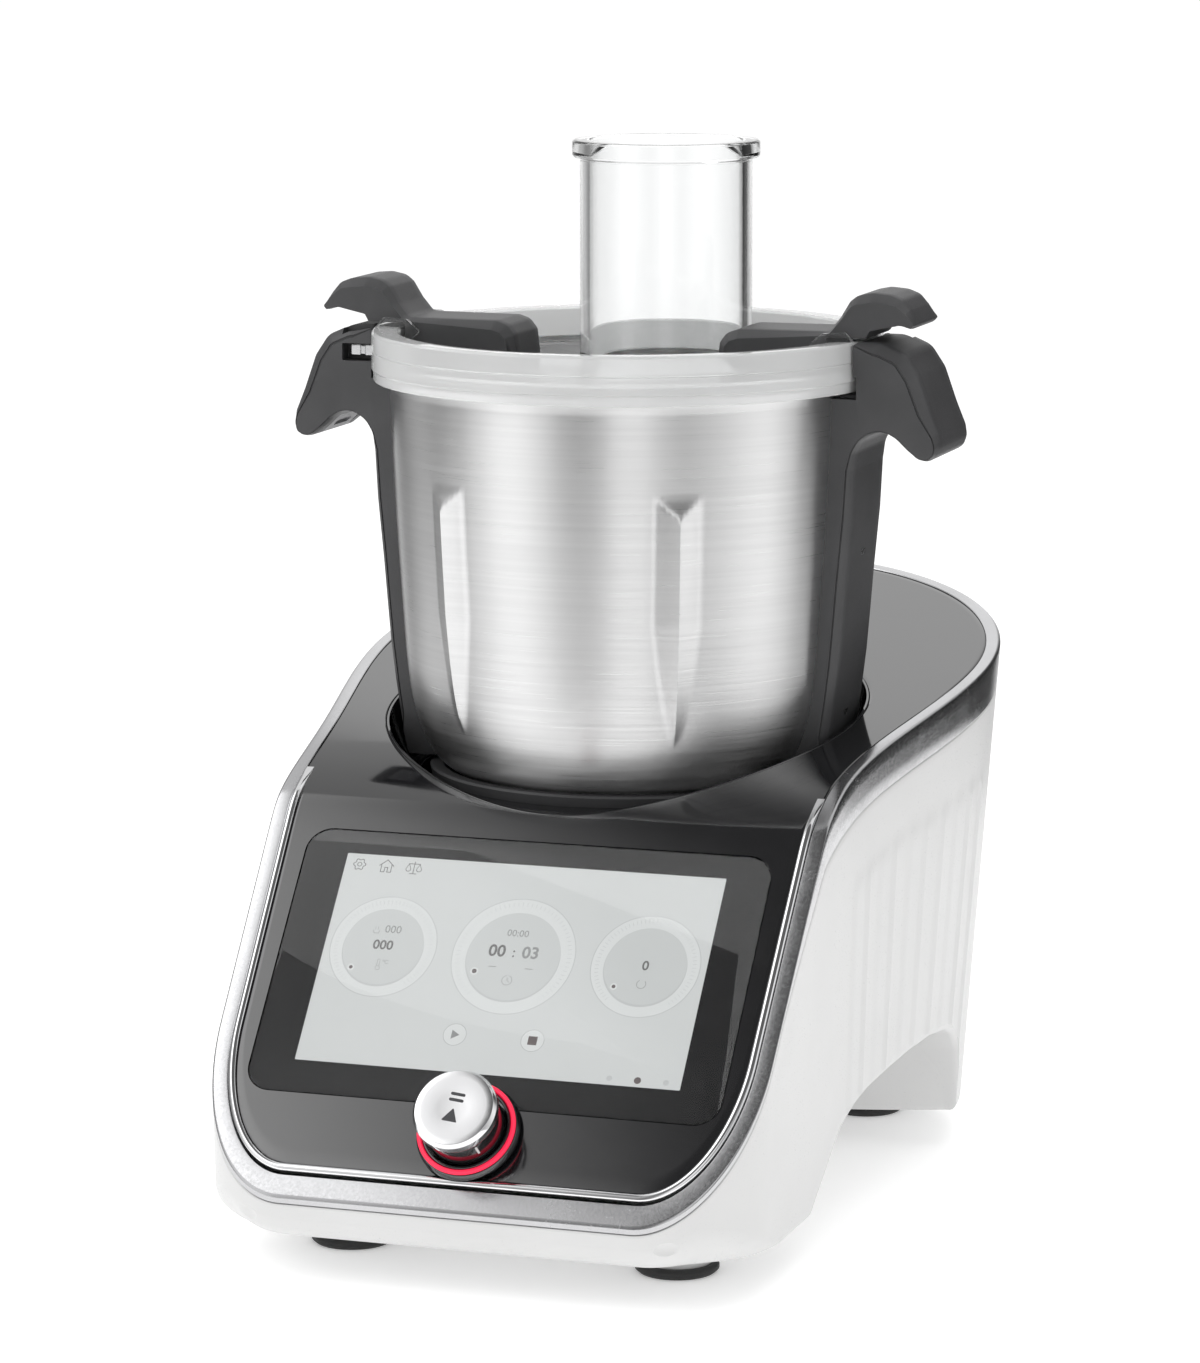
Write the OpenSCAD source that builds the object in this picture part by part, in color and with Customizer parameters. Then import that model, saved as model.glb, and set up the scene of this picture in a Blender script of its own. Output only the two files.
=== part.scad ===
// Countertop cooking food processor: a heated steel bowl with a blade, a clear lid with a feed
// tube, and a base that holds the motor, the scales, the touch screen and the control knob.
// The origin is on the floor, on the axis of the bowl. +Z is up and the screen faces -Y.

/* [Base] */
// Half width of the base where it is widest, behind the bowl
base_rear_half_w = 132; // [128:1:136]
// Half width of the base at the front panel
base_front_half_w = 112; // [110:0.5:114]
// Distance from the bowl axis to the back of the base
base_back = 208; // [200:1:215]
// Distance from the bowl axis to the front lip of the base
base_front = 206; // [204:1:208]
// Wall thickness of the white housing
housing_wall = 3; // [2.5:0.25:3.5]
// Visible width of the metal trim band on the deck
trim_w = 6; // [5:0.5:7]
// Height of the metal trim band on the side, beside the deck
trim_h = 17; // [12:0.5:20]
// Height of the metal trim band at the front lip
trim_front_h = 3; // [2.5:0.5:5]
// Radius of the well that takes the bowl
well_r = 97.5; // [97:0.25:98.5]
// Height of the floor of the well
well_floor = 149; // [147:0.5:150]

/* [Front panel] */
// Lean of the panel back from upright, in degrees
panel_tilt = 39.7; // [39:0.1:40.5]
// Height of the lower edge of the picture on the screen
panel_z = 78.8; // [78:0.1:79.5]
// Distance from the bowl axis to the lower edge of the picture
panel_y = 169.5; // [169:0.1:170]
// Width of the picture
picture_w = 154.2; // [150:0.1:156]
// Height of the picture, along the panel
picture_h = 89.7; // [86:0.1:92]
// Height of the screen glass, along the panel
glass_h = 113; // [110:0.5:115]
// Width of the screen glass
glass_w = 189; // [184:0.5:192]
// Distance of the knob below the picture
knob_drop = 25; // [24:0.5:26]
// Radius of the knob cap
knob_r = 16.2; // [14:0.1:17]
// Travel of the knob when pressed
knob_travel = 0.8; // [0.5:0.1:1]

/* [Bowl] */
// Outer radius of the bowl just below the lid
bowl_r = 94.5; // [93.5:0.25:95]
// Height of the underside of the steel bowl
bowl_bottom = 166; // [165:0.5:167]
// Height of the rim of the bowl
bowl_rim = 328.6; // [328:0.1:329]
// Thickness of the bowl's steel
steel = 1.2; // [1:0.1:1.6]
// Half width of the handles and their legs
handle_half_w = 24; // [22:0.5:24.5]
// Distance from the bowl axis to the tip of a handle
handle_reach = 134.5; // [132:0.5:136]

/* [Lid] */
// Outer radius of the lid
lid_r = 101.8; // [101.5:0.1:102]
// Height of the top of the lid's rim
lid_top = 343; // [342:0.5:344]
// Height of the top of the feed tube
tube_top = 415; // [400:1:425]
// Outer radius of the feed tube
tube_r = 35; // [33:0.25:36]
// Wall of the feed tube
tube_wall = 4; // [3:0.25:5]
// Distance of the feed tube behind the bowl axis
tube_y = 49; // [47:0.5:50]
// Half width of a latch lever
lever_half_w = 18; // [16:0.5:18]

/* [Feet] */
// Half distance between the feet, side to side
foot_x = 66; // [64:1:68]
// Distance of the front feet from the bowl axis
foot_front_y = 138; // [134:1:140]
// Distance of the rear feet from the bowl axis
foot_rear_y = 121; // [119:1:126]
// Radius of a foot's rubber ring
foot_r = 16.2; // [14:0.2:17]

/* [Hidden] */
$fn = 96;
HULL_FN = 32;

white = "whitesmoke";
black = [0.08, 0.08, 0.09];
satin_black = [0.16, 0.16, 0.17];
steel_grey = [0.72, 0.72, 0.74];
clear = [0.85, 0.9, 0.93, 0.45];

leg_bottom = 8;            // underside of the rear leg
belly = 15;                // underside of the rest of the housing
loft_top = 234;
corner_rx = 40;            // front corners of the base, in plan
corner_ry = 45;
flare_from = -80;          // the sides widen between these two places
flare_to = 66;
fold_v = 110;              // top of the front panel, along the panel
deck_rise = 0.154;         // slope of the rear deck
deck_z0 = 192;             // height that the rear deck's plane has over the bowl axis
bead_w = 2.2;
gap = 0.3;
panel_skin = 3;
display_depth = 5.6;
pocket_depth = 2.3;
liner_r = well_r - gap;
liner_wall = 2.4;
inlet_y = 184;             // floor of the pocket at the back
inlet_z = 58;
bore_r = tube_r - tube_wall;
lid_floor = 329.5;
lever_top = 346;
hump_top = 361.8;
slot_z0 = 329;             // window in a handle, and the latch bolt behind it
slot_z1 = 336;
bolt_y0 = 16.5;
bolt_y1 = 22;
shaft_r = 5;
dog_r = 11.5;

// ---------- shared shapes ----------

function smooth(t) = let (c = min(1, max(0, t))) c * c * (3 - 2 * c);
function panel_point(v, d) = [
    -panel_y + v * sin(panel_tilt) + d * cos(panel_tilt),
    panel_z + v * cos(panel_tilt) - d * sin(panel_tilt)
];
fold = panel_point(fold_v, 0);
function fold_dip(y) = (deck_z0 + deck_rise * fold.x - fold.y) * exp((fold.x - y) / 22);
function deck_z(y) = deck_z0 + deck_rise * y - fold_dip(y);
function deck_slope(y) = deck_rise + fold_dip(y) / 22;
function deck_point(y, d) = let (s = deck_slope(y), n = sqrt(1 + s * s))
    [y + d * s / n, deck_z(y) - d / n];

function front_half_w(z) = base_front_half_w + 0.024 * (z - 140);
function rear_half_w(z) = base_rear_half_w + 0.0765 * (z - 203);
function back_y(z) = base_back + 0.079 * (z - 223);
function front_y(z) = -base_front + 0.8 * max(0, 30 - z);
function side_x(y, z) = front_half_w(z)
    + (rear_half_w(z) - front_half_w(z)) * smooth((y - flare_from) / (flare_to - flare_from));

// Right half of the base's outline at height z, moved inwards by inset, front to back
function half_outline(z, inset) = let (
    rx = corner_rx - inset, ry = corner_ry - inset,
    cx = front_half_w(z) - corner_rx, cy = front_y(z) + corner_ry,
    a = rear_half_w(z) - inset, b = back_y(z) - flare_to - inset
) concat(
    [for (i = [0:8]) [cx + rx * sin(i * 11.25), cy - ry * cos(i * 11.25)]],
    [for (i = [1:12]) let (y = cy + (flare_to - cy) * i / 12) [side_x(y, z) - inset, y]],
    [for (i = [1:14]) [a * cos(i * 90 / 14), flare_to + b * sin(i * 90 / 14)]]
);
function outline(z, inset) = let (h = half_outline(z, inset), n = len(h)) concat(
    [for (i = [0:n - 2]) h[i]], [[0, h[n - 1].y]],
    [for (i = [n - 2:-1:0]) [-h[i].x, h[i].y]]
);

// Closed solid through rings of equal length, bottom ring first
module loft(rings) {
    n = len(rings[0]);
    m = len(rings);
    polyhedron(
        points = [for (r = rings) each r],
        faces = concat(
            [[for (i = [0:n - 1]) i]],
            [[for (i = [n - 1:-1:0]) (m - 1) * n + i]],
            [for (k = [0:m - 2], i = [0:n - 1])
                [k * n + i, (k + 1) * n + i, (k + 1) * n + (i + 1) % n, k * n + (i + 1) % n]]
        )
    );
}

// The base's outer form before its top is cut, moved inwards by inset
module base_form(inset) {
    loft([for (z = [leg_bottom - 1, 30, loft_top])
        [for (p = outline(z, inset)) [p.x, p.y, z]]]);
}

// A side view, as points (y, z), pushed out across the whole width
module across(points, half_w = 160) {
    rotate([90, 0, 90])
        linear_extrude(height = 2 * half_w, center = true)
            polygon(points);
}

// Everything below the deck and the front panel, less a layer of thickness d
module under_top(d) {
    deck_ys = [-94, -88, -80, -70, -57, -40, -15, 25, 230];
    across(concat(
        [panel_point(-80, d)],
        [panel_point(fold_v - 0.12 * d, d)],
        [for (y = deck_ys) deck_point(y, d)],
        [[232, -5], [-230, -5]]
    ));
}

// Everything below the lower edge of the trim band, which narrows towards the front lip
function top_z(y) = y > fold.x ? deck_z(y) : fold.y + (y - fold.x) / tan(panel_tilt);
function band_z(y) = top_z(y) - max(trim_front_h, trim_h * smooth((y + 172) / 108));
module under_band() {
    edge_ys = [-230, -150, -138, -126, -113, -99.2, -86, -74, -62, -48, -30, -5, 30, 232];
    across(concat([for (y = edge_ys) [y, band_z(y)]], [[232, -5], [-229, -5]]));
}

module ahead_of_fold() {
    translate([-160, -300, 0]) cube([320, 300 + fold.x - 0.2, 300]);
}

module behind_fold() {
    translate([-160, fold.x + 0.2, 0]) cube([320, 400, 300]);
}

// Places children on the panel: X across, Y up along the panel, Z out of it
module on_panel() {
    translate([0, -panel_y, panel_z]) rotate([90 - panel_tilt, 0, 0]) children();
}

module on_knob_axis() {
    on_panel() translate([0, -knob_drop, 0]) children();
}

module rounded_plate(w, h, r, t) {
    linear_extrude(height = t) union() {
        square([w - 2 * r, h], center = true);
        square([w, h - 2 * r], center = true);
        for (x = [-1, 1], y = [-1, 1])
            translate([x * (w / 2 - r), y * (h / 2 - r)]) circle(r = r, $fn = 48);
    }
}

module ring(r_out, r_in, h) {
    difference() {
        cylinder(r = r_out, h = h);
        translate([0, 0, -1]) cylinder(r = r_in, h = h + 2);
    }
}

module at_feet() {
    for (x = [-foot_x, foot_x]) {
        translate([x, -foot_front_y, 0]) children(0);
        translate([x, foot_rear_y, 0]) children(1);
    }
}

module half_turn() {
    rotate([0, 0, 180]) children();
}

// ---------- base: casing ----------

// Space under the sides of the base, between the front and rear legs
module arches(grow) {
    for (s = [-1, 1])
        translate([s * (92 - grow + 36), 0, 0])
            across([
                [-104 - grow, -5], [-102 - grow, belly + grow], [-84, 26 + grow],
                [-66, 39 + grow], [-50, 45 + grow], [-14, 51 + grow], [30, 54 + grow],
                [56 + grow, 52 + grow], [72 + grow, 44], [79 + grow, 28], [79 + grow, -5]
            ], 36);
}

module below_belly(grow) {
    translate([-160, -300, -5]) cube([320, 379 + grow, belly + 5 + grow]);
    translate([-160, 0, -5]) cube([320, 300, leg_bottom + 5 + grow]);
}

module vent_slots() {
    for (i = [0:6]) translate([-42, 150, 96 + 7 * i]) cube([84, 80, 3.2]);
}

module base_housing() {
    color(white) difference() {
        intersection() {
            base_form(0);
            under_band();
        }
        arches(0);
        below_belly(0);
        difference() {
            base_form(housing_wall);
            arches(housing_wall);
            below_belly(housing_wall);
        }
        translate([-55, -108, 0]) cube([110, 184, 40]);
        translate([-41, inlet_y - 10, inlet_z - 19]) cube([82, 60, 38]);
        vent_slots();
    }
}

module bottom_cover() {
    color(white) difference() {
        translate([-60, -113, belly - 2.6]) cube([120, 191.6, 2.6]);
        for (i = [-5:5], s = [-1, 1])
            translate([s * 27 - 20, i * 8 - 12, belly - 4]) cube([40, 3, 6]);
        for (x = [-57, 57], y = [-105, -16, 73])
            translate([x, y, belly - 4]) cylinder(r = 1.7, h = 6, $fn = 24);
    }
}

module bottom_screws() {
    color(steel_grey) for (x = [-57, 57], y = [-105, -16, 73])
        translate([x, y, belly - 4.4]) {
            cylinder(r = 3.2, h = 1.8, $fn = 24);
            cylinder(r = 1.5, h = 6.8, $fn = 24);
        }
}

module trim_band() {
    color(steel_grey) difference() {
        intersection() {
            base_form(0);
            under_top(0);
        }
        under_band();
        base_form(trim_w);
    }
}

module deck_cover() {
    color(black) difference() {
        intersection() {
            base_form(trim_w + gap);
            under_top(0.3);
            behind_fold();
        }
        under_top(0.3 + panel_skin);
        cylinder(r = well_r, h = 300);
    }
}

module well_liner() {
    color(black) difference() {
        intersection() {
            translate([0, 0, well_floor - 3]) cylinder(r = liner_r, h = 80);
            under_top(-0.6);
        }
        translate([0, 0, well_floor]) cylinder(r = 82.6, h = 80);
        translate([0, 0, 166.6]) cylinder(r1 = 84, r2 = liner_r - liner_wall, h = 6);
        translate([0, 0, 172.5]) cylinder(r = liner_r - liner_wall, h = 80);
        difference() {
            translate([0, 0, well_floor]) cylinder(r = liner_r - liner_wall, h = 14);
            translate([0, 0, well_floor - 1]) cylinder(r = 85, h = 20);
        }
        cylinder(r = 17, h = 200);
        translate([-15, -70, 100]) cube([30, 12, 60]);
    }
}

module chrome_bead() {
    color("silver") difference() {
        intersection() {
            base_form(trim_w + 0.2);
            under_top(-1.2);
            ahead_of_fold();
        }
        under_top(4);
        base_form(trim_w + 0.2 + bead_w);
    }
}

module front_panel() {
    color(black) difference() {
        intersection() {
            base_form(trim_w + 0.4 + bead_w);
            under_top(0.3);
            ahead_of_fold();
        }
        under_top(0.3 + panel_skin);
        on_panel() translate([0, picture_h / 2 - 2, -pocket_depth])
            rounded_plate(glass_w + gap, glass_h + gap, 10, 20);
        on_panel() translate([-83.2, picture_h / 2 - 50.8, -20]) cube([166.4, 101.6, 40]);
        on_knob_axis() translate([0, 0, -10]) cylinder(r = 5.2, h = 20);
    }
}

module screen_glass() {
    color(black) on_panel() translate([0, picture_h / 2 - 2, 0.1 - pocket_depth])
        rounded_plate(glass_w, glass_h, 10, 2.1);
}

module display_module() {
    color([0.86, 0.87, 0.88]) on_panel() translate([-82.5, picture_h / 2 - 50, -8.1])
        cube([165, 100, display_depth]);
}

module control_board() {
    color("darkgreen") on_panel() {
        translate([-80, -38, -16]) cube([160, 124, 1.6]);
        translate([-50, 20, -19]) cube([26, 26, 3]);
        translate([10, 30, -19]) cube([18, 14, 3]);
        translate([-20, -20, -20]) cube([40, 8, 4]);
    }
}

// ---------- base: knob ----------

module knob_collar() {
    color(black) on_knob_axis() difference() {
        union() {
            cylinder(r = 17.2, h = 1.6);
            translate([0, 0, 1.4]) cylinder(r1 = 20.2, r2 = 19.4, h = 3);
        }
        translate([0, 0, 1.8]) cylinder(r = 17.6, h = 10);
        translate([0, 0, -5]) cylinder(r = 5.2, h = 20);
    }
}

module light_ring() {
    color("crimson") on_knob_axis() translate([0, 0, 1.9]) ring(17.5, 16, 3.4);
    color("crimson") on_knob_axis() translate([0, 0, 4.5]) ring(19.2, 16, 1.6);
}

module encoder_body() {
    color("dimgray") on_knob_axis() difference() {
        union() {
            translate([-7, -7, -14.3]) cube([14, 14, 8]);
            translate([0, 0, -6.4]) cylinder(r = 4.8, h = 7.8);
        }
        translate([0, 0, -13.2]) cylinder(r = 3.5, h = 30);
    }
}

module knob_spring() {
    color(steel_grey) on_knob_axis() translate([0, 0, -13.1]) ring(3.1, 2.3, 2);
}

module knob_plunger() {
    color("lightgray") on_knob_axis() translate([0, 0, -10.2]) cylinder(r = 3.3, h = 3);
}

module knob_shaft() {
    color(steel_grey) on_knob_axis() translate([0, 0, -7.1]) cylinder(r = 3, h = 22);
}

module knob_skirt() {
    color(black) on_knob_axis() difference() {
        translate([0, 0, 3.4]) cylinder(r1 = 15.4, r2 = 14.6, h = 13.2);
        translate([0, 0, 2]) cylinder(r = 12.8, h = 11);
        cylinder(r = 3.05, h = 15.4);
    }
}

module knob_cap() {
    color("silver") on_knob_axis() {
        translate([0, 0, 16.7]) cylinder(r1 = knob_r - 0.8, r2 = knob_r, h = 1.4);
        translate([0, 0, 18.1]) cylinder(r = knob_r, h = 3.2);
        translate([0, 0, 21.3]) cylinder(r1 = knob_r, r2 = knob_r - 1, h = 1.2);
    }
}

// ---------- base: feet and scales ----------

module foot_posts() {
    color(white) at_feet() {
        translate([0, 0, 2]) cylinder(r = 13, h = belly - 2);
        translate([0, 0, 2]) cylinder(r = 13, h = leg_bottom - 2);
    }
}

module foot_pads() {
    color(black) for (x = [-foot_x, foot_x], y = [-foot_front_y, foot_rear_y])
        translate([x, y, 0]) {
            cylinder(r = foot_r - 1.2, h = 1.9);
            ring(foot_r, 13.1, 4.2);
        }
}

module load_cell() {
    difference() {
        translate([-20, -6, 0]) cube([40, 12, 9]);
        for (x = [-5, 5])
            translate([x, -7, 4.5]) rotate([-90, 0, 0]) cylinder(r = 3, h = 14, $fn = 24);
    }
}

module load_cells() {
    color("silver") at_feet() {
        translate([0, 0, belly + housing_wall]) load_cell();
        translate([0, 0, leg_bottom + housing_wall]) load_cell();
    }
}

// ---------- base: motor and power ----------

module motor_can() {
    color(steel_grey) difference() {
        translate([0, 0, 42]) cylinder(r = 47, h = 78);
        translate([0, 0, 45]) cylinder(r = 44, h = 72);
        cylinder(r = 8, h = 60);
        translate([0, 0, 100]) cylinder(r = 8, h = 40);
        for (a = [0:45:315]) rotate([0, 0, a]) translate([26, -5, 30]) cube([12, 10, 20]);
    }
}

module motor_stator() {
    color("slategray") difference() {
        translate([0, 0, 60]) cylinder(r = 43.9, h = 42);
        translate([0, 0, 50]) cylinder(r = 23, h = 60);
        for (a = [0:30:330]) rotate([0, 0, a]) translate([20, -3.5, 50]) cube([18, 7, 60]);
    }
}

module motor_bearings() {
    color("silver") for (z = [42.2, 113])
        translate([0, 0, z]) ring(7.9, shaft_r + 0.03, 6.6);
}

module motor_bracket() {
    color("darkgray") difference() {
        union() {
            translate([0, 0, 120.1]) cylinder(r = 50, h = 4);
            for (a = [45:90:315]) rotate([0, 0, a]) translate([0, -9, 120.1]) cube([74, 18, 4]);
        }
        translate([0, 0, 100]) cylinder(r = 9, h = 40);
    }
}

module motor_buffers() {
    color(black) for (a = [45:90:315])
        rotate([0, 0, a]) translate([64, 0, 124.1]) cylinder(r = 7, h = well_floor - 127.1);
}

module motor_shaft() {
    color("silver") translate([0, 0, 28]) cylinder(r = shaft_r, h = well_floor - 26);
}

module motor_rotor() {
    color("gray") difference() {
        translate([0, 0, 60]) cylinder(r = 22.3, h = 42);
        translate([0, 0, 50]) cylinder(r = shaft_r, h = 60);
        for (a = [0:45:315]) rotate([0, 0, a]) translate([18, -3, 50]) cube([10, 6, 60]);
    }
}

module motor_fan() {
    color("dimgray") difference() {
        union() {
            translate([0, 0, 29]) cylinder(r = 12, h = 9);
            translate([0, 0, 29]) cylinder(r = 40, h = 1.6);
            for (a = [0:36:324]) rotate([0, 0, a]) translate([11, -0.8, 29]) cube([28, 1.6, 9]);
        }
        translate([0, 0, 20]) cylinder(r = shaft_r, h = 30);
    }
}

module star(r, h, grow) {
    cylinder(r = 8 + grow, h = h);
    for (a = [0:60:300])
        rotate([0, 0, a]) translate([0, -2 - grow, 0]) cube([r + grow, 4 + 2 * grow, h]);
}

module drive_dog() {
    color("dimgray") difference() {
        translate([0, 0, well_floor + 1]) star(dog_r, 8.5, 0);
        translate([0, 0, 100]) cylinder(r = shaft_r, h = well_floor - 98);
    }
}

module connector_socket() {
    color(satin_black) translate([-14.8, -69.8, well_floor - 12]) cube([29.6, 11.6, 12.4]);
}

module connector_pins() {
    color("gold") for (x = [-9, 0, 9])
        translate([x, -64, well_floor + 0.4]) cylinder(r = 1.6, h = 7, $fn = 24);
}

module power_board() {
    color("darkgreen") translate([-60, 132, 30]) cube([120, 1.6, 100]);
    color("silver") translate([-48, 133.6, 96]) cube([60, 12, 28]);
    color(black) for (x = [24, 44]) translate([x, 133.6, 106])
        rotate([-90, 0, 0]) cylinder(r = 9, h = 22);
    color("gold") translate([24, 133.6, 60]) cube([28, 16, 22]);
}

module rear_plate() {
    color(black) difference() {
        intersection() {
            base_form(0.3);
            translate([-40.7, inlet_y - 3, inlet_z - 18.7]) cube([81.4, 40, 37.4]);
        }
        translate([-38.5, inlet_y, inlet_z - 16.5]) cube([77, 40, 33]);
        translate([-31.2, inlet_y - 10, inlet_z - 10.2]) cube([28.4, 20, 20.4]);
        translate([9.3, inlet_y - 10, inlet_z - 10.3]) cube([16.4, 20, 20.6]);
    }
}

module power_inlet() {
    color(satin_black) difference() {
        union() {
            translate([-31, inlet_y - 22, inlet_z - 10]) cube([28, 22, 20]);
            translate([-34, inlet_y, inlet_z - 13]) cube([34, 2, 26]);
        }
        translate([-29, inlet_y - 17, inlet_z - 8]) cube([24, 30, 16]);
    }
}

module inlet_pins() {
    color("silver") for (x = [-24, -17, -10])
        translate([x - 1, inlet_y - 17, inlet_z - (x == -17 ? -2 : 2) - 2]) cube([2, 14, 4]);
}

module power_switch() {
    color(black) difference() {
        translate([17.5, inlet_y - 3, inlet_z]) rotate([0, 90, 0])
            cylinder(r = 9, h = 14.6, center = true);
        translate([0, inlet_y - 3, inlet_z]) rotate([8, 0, 0]) translate([0, 5.6, -20])
            cube([40, 20, 40]);
        translate([0, inlet_y - 26, inlet_z - 20]) cube([40, 16, 40]);
        translate([17.5, inlet_y - 3, inlet_z]) rotate([0, 90, 0])
            cylinder(r = 1.5, h = 30, center = true);
    }
}

// ---------- bowl ----------

// Outer side of the steel bowl, as points (radius, height) from the bottom up
bowl_wall = [
    [66, bowl_bottom], [73, 169], [78.4, 174.5], [81.6, 181], [84.4, 188], [87.2, 199],
    [89, 216], [90.1, 232], [91.2, 250], [92.5, 268], [93.3, 284], [bowl_r - 0.5, 302],
    [bowl_r, 322]
];
rim_r = 98;

module bowl_shell() {
    color(steel_grey) difference() {
        rotate_extrude() polygon(concat(
            [[14.2, bowl_bottom]], bowl_wall,
            [[rim_r - 0.6, 325], [rim_r, 326], [rim_r, bowl_rim], [rim_r - steel, bowl_rim],
             [rim_r - steel, 327], [rim_r - 1.6 - steel, 326]],
            [for (i = [len(bowl_wall) - 1:-1:0]) [bowl_wall[i].x - steel, bowl_wall[i].y + 0.7]],
            [[14.2, bowl_bottom + steel]]
        ));
    }
    color(steel_grey) for (a = [-30.5, 30.5, 149.5, 210.5]) rotate([0, 0, a]) bowl_rib();
}

// Pressed rib on the front of the wall: broad at the top, pointed at the bottom
module bowl_rib() {
    hull() {
        translate([-8, -93.6, 282]) cube([16, 1, 4]);
        translate([-5, -96.2, 278]) cube([8, 1, 4]);
        translate([-7, -89.6, 222]) cube([14, 1, 2]);
        translate([-3, -92.2, 222]) cube([5, 1, 2]);
        translate([-1, -86.4, 194]) cube([2, 1, 1]);
    }
}

module bowl_base_cup() {
    color(satin_black) difference() {
        rotate_extrude() polygon([
            [17, well_floor + 1.2], [73, well_floor + 1.2], [77, well_floor + 5], [79.2, 166],
            [79.6, 168], [78.6, 168.8], [74.4, 168.8], [75.6, 166], [74.4, well_floor + 7],
            [72, well_floor + 4.2], [17, well_floor + 4.2]
        ]);
        for (x = [-9, 0, 9]) translate([x, -64, 140]) cylinder(r = 2.6, h = 20, $fn = 24);
    }
}

module heater_plate() {
    color("silver") translate([0, 0, 158.2]) ring(54, 22, bowl_bottom - 158.3);
}

module heating_element() {
    color("darkgray") rotate_extrude() translate([42, 155.8]) circle(r = 2.2, $fn = 24);
}

module connector_block() {
    color(satin_black) difference() {
        translate([-14, -69.5, well_floor + 4.3]) cube([28, 10.6, 7]);
        for (x = [-9, 0, 9]) translate([x, -64, 150]) cylinder(r = 2, h = 8, $fn = 24);
    }
}

// Space that the bowl and the lid take up beside a handle
module handle_clearance() {
    rotate_extrude() polygon(concat(
        [[0, 100], [78.6, 150], [82.8, 166], [85.2, 176.4]],
        [for (p = bowl_wall) if (p.y > 185) [p.x + 0.15, p.y]],
        [[bowl_r + 0.3, 322], [lid_r + 1.2, 322.4], [lid_r + 1.2, 380], [0, 380]]
    ));
}

// Places children on the underside of the grip at -X: X along it, Z into the grip
module grip_face() {
    translate([-126.2, 0, 297.7]) rotate([0, -42.5, 0]) children();
}

// Handle at -X: a hooked grip with a long leg that runs down the side of the bowl
module handle() {
    tip = handle_reach;
    difference() {
        rotate([90, 0, 0]) linear_extrude(height = 2 * handle_half_w, center = true) polygon([
            [-96, 343], [-110, 343], [5.5 - 120 - 5, 338.5], [-125.2, 330], [4.5 - tip, 317],
            [0.8 - tip, 308], [-tip, 303.5], [1.4 - tip, 299.4], [4.6 - tip, 297.4],
            [8.6 - tip, 298], [-121.6, 301.8], [-117.4, 305.8], [-112.6, 308.4],
            [-107.6, 308], [-103.4, 305.2], [-101, 301], [-100.2, 296], [-99.2, 274],
            [-96.8, 249], [-95.4, 232], [-94, 216], [-92, 200], [-89.4, 183], [-86.4, 172],
            [-85.4, 170], [-70, 170], [-70, 320], [-90, 343]
        ]);
        handle_clearance();
        translate([-113, -bolt_y1 - 0.6, slot_z0 - 0.4]) cube([20, bolt_y1 - bolt_y0 + 1.2, 40]);
        translate([-112.5, -40, slot_z0]) cube([14, 40 - bolt_y0, slot_z1 - slot_z0]);
        translate([-101.5, 18, 321]) cube([14, 20, 9]);
        grip_face() translate([0.6, -14, -2]) cube([11.4, 28, 3.8]);
        for (z = [196, 260]) translate([-120, 0, z]) rotate([0, 90, 0]) {
            cylinder(r = 3.4, h = z == 196 ? 30.7 : 24.1, $fn = 32);
            cylinder(r = 1.8, h = 40, $fn = 24);
        }
    }
}

module handle_left() {
    color(satin_black) handle();
}

module handle_right() {
    color(satin_black) half_turn() handle();
}

module handle_insert() {
    grip_face() difference() {
        translate([0.7, -13.9, 0.1]) cube([11.2, 27.8, 1.7]);
        translate([4, -8, -1]) cube([3.6, 16, 2]);
    }
}

module handle_inserts() {
    color("gray") {
        handle_insert();
        half_turn() handle_insert();
    }
}

module handle_screw_pair() {
    for (z = [196, 260]) translate([z == 196 ? -91.2 : -97.8, 0, z]) rotate([0, 90, 0]) {
        cylinder(r = 3.2, h = 1.8, $fn = 24);
        cylinder(r = 1.7, h = 4, $fn = 24);
    }
}

module handle_screws() {
    color("silver") {
        handle_screw_pair();
        half_turn() handle_screw_pair();
    }
}

// ---------- blade ----------

module blade_bearing() {
    color(satin_black) difference() {
        union() {
            translate([0, 0, 163.5]) cylinder(r = 14, h = 14);
            translate([0, 0, bowl_bottom + steel + 0.1]) cylinder(r = 19, h = 3);
        }
        translate([0, 0, 150]) cylinder(r = shaft_r + 0.03, h = 40);
    }
}

module blade_shaft() {
    color("silver") translate([0, 0, 160.4]) cylinder(r = shaft_r, h = 45);
}

module blade_coupling() {
    color("dimgray") difference() {
        translate([0, 0, well_floor + 2]) cylinder(r = 15.4, h = 12);
        translate([0, 0, well_floor]) star(dog_r, 10.6, 0.4);
        translate([0, 0, 160.4]) cylinder(r = shaft_r, h = 10);
    }
}

// One blade, along +X, swept back and tilted about its root
module blade(length, tilt) {
    rotate([0, tilt, 0]) linear_extrude(height = 1.8) polygon([
        [4, -9], [16, -8.5], [0.55 * length, -9], [0.85 * length, -4], [length, 6],
        [0.86 * length, 7], [0.5 * length, 6], [14, 9], [4, 9]
    ]);
}

module blade_set() {
    color(steel_grey) difference() {
        union() {
            translate([0, 0, 179]) cylinder(r = 10, h = 18);
            translate([0, 0, 183]) blade(66, -14);
            translate([0, 0, 183]) rotate([0, 0, 180]) blade(66, 6);
            translate([0, 0, 191]) rotate([0, 0, 90]) blade(54, -26);
            translate([0, 0, 187]) rotate([0, 0, 270]) blade(58, -8);
        }
        translate([0, 0, 150]) cylinder(r = shaft_r, h = 80);
    }
}

module blade_nut() {
    color("silver") difference() {
        translate([0, 0, 197.1]) cylinder(r = 8.5, h = 9, $fn = 6);
        translate([0, 0, 190]) cylinder(r = shaft_r, h = 15.4);
    }
}

// ---------- lid ----------

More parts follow.
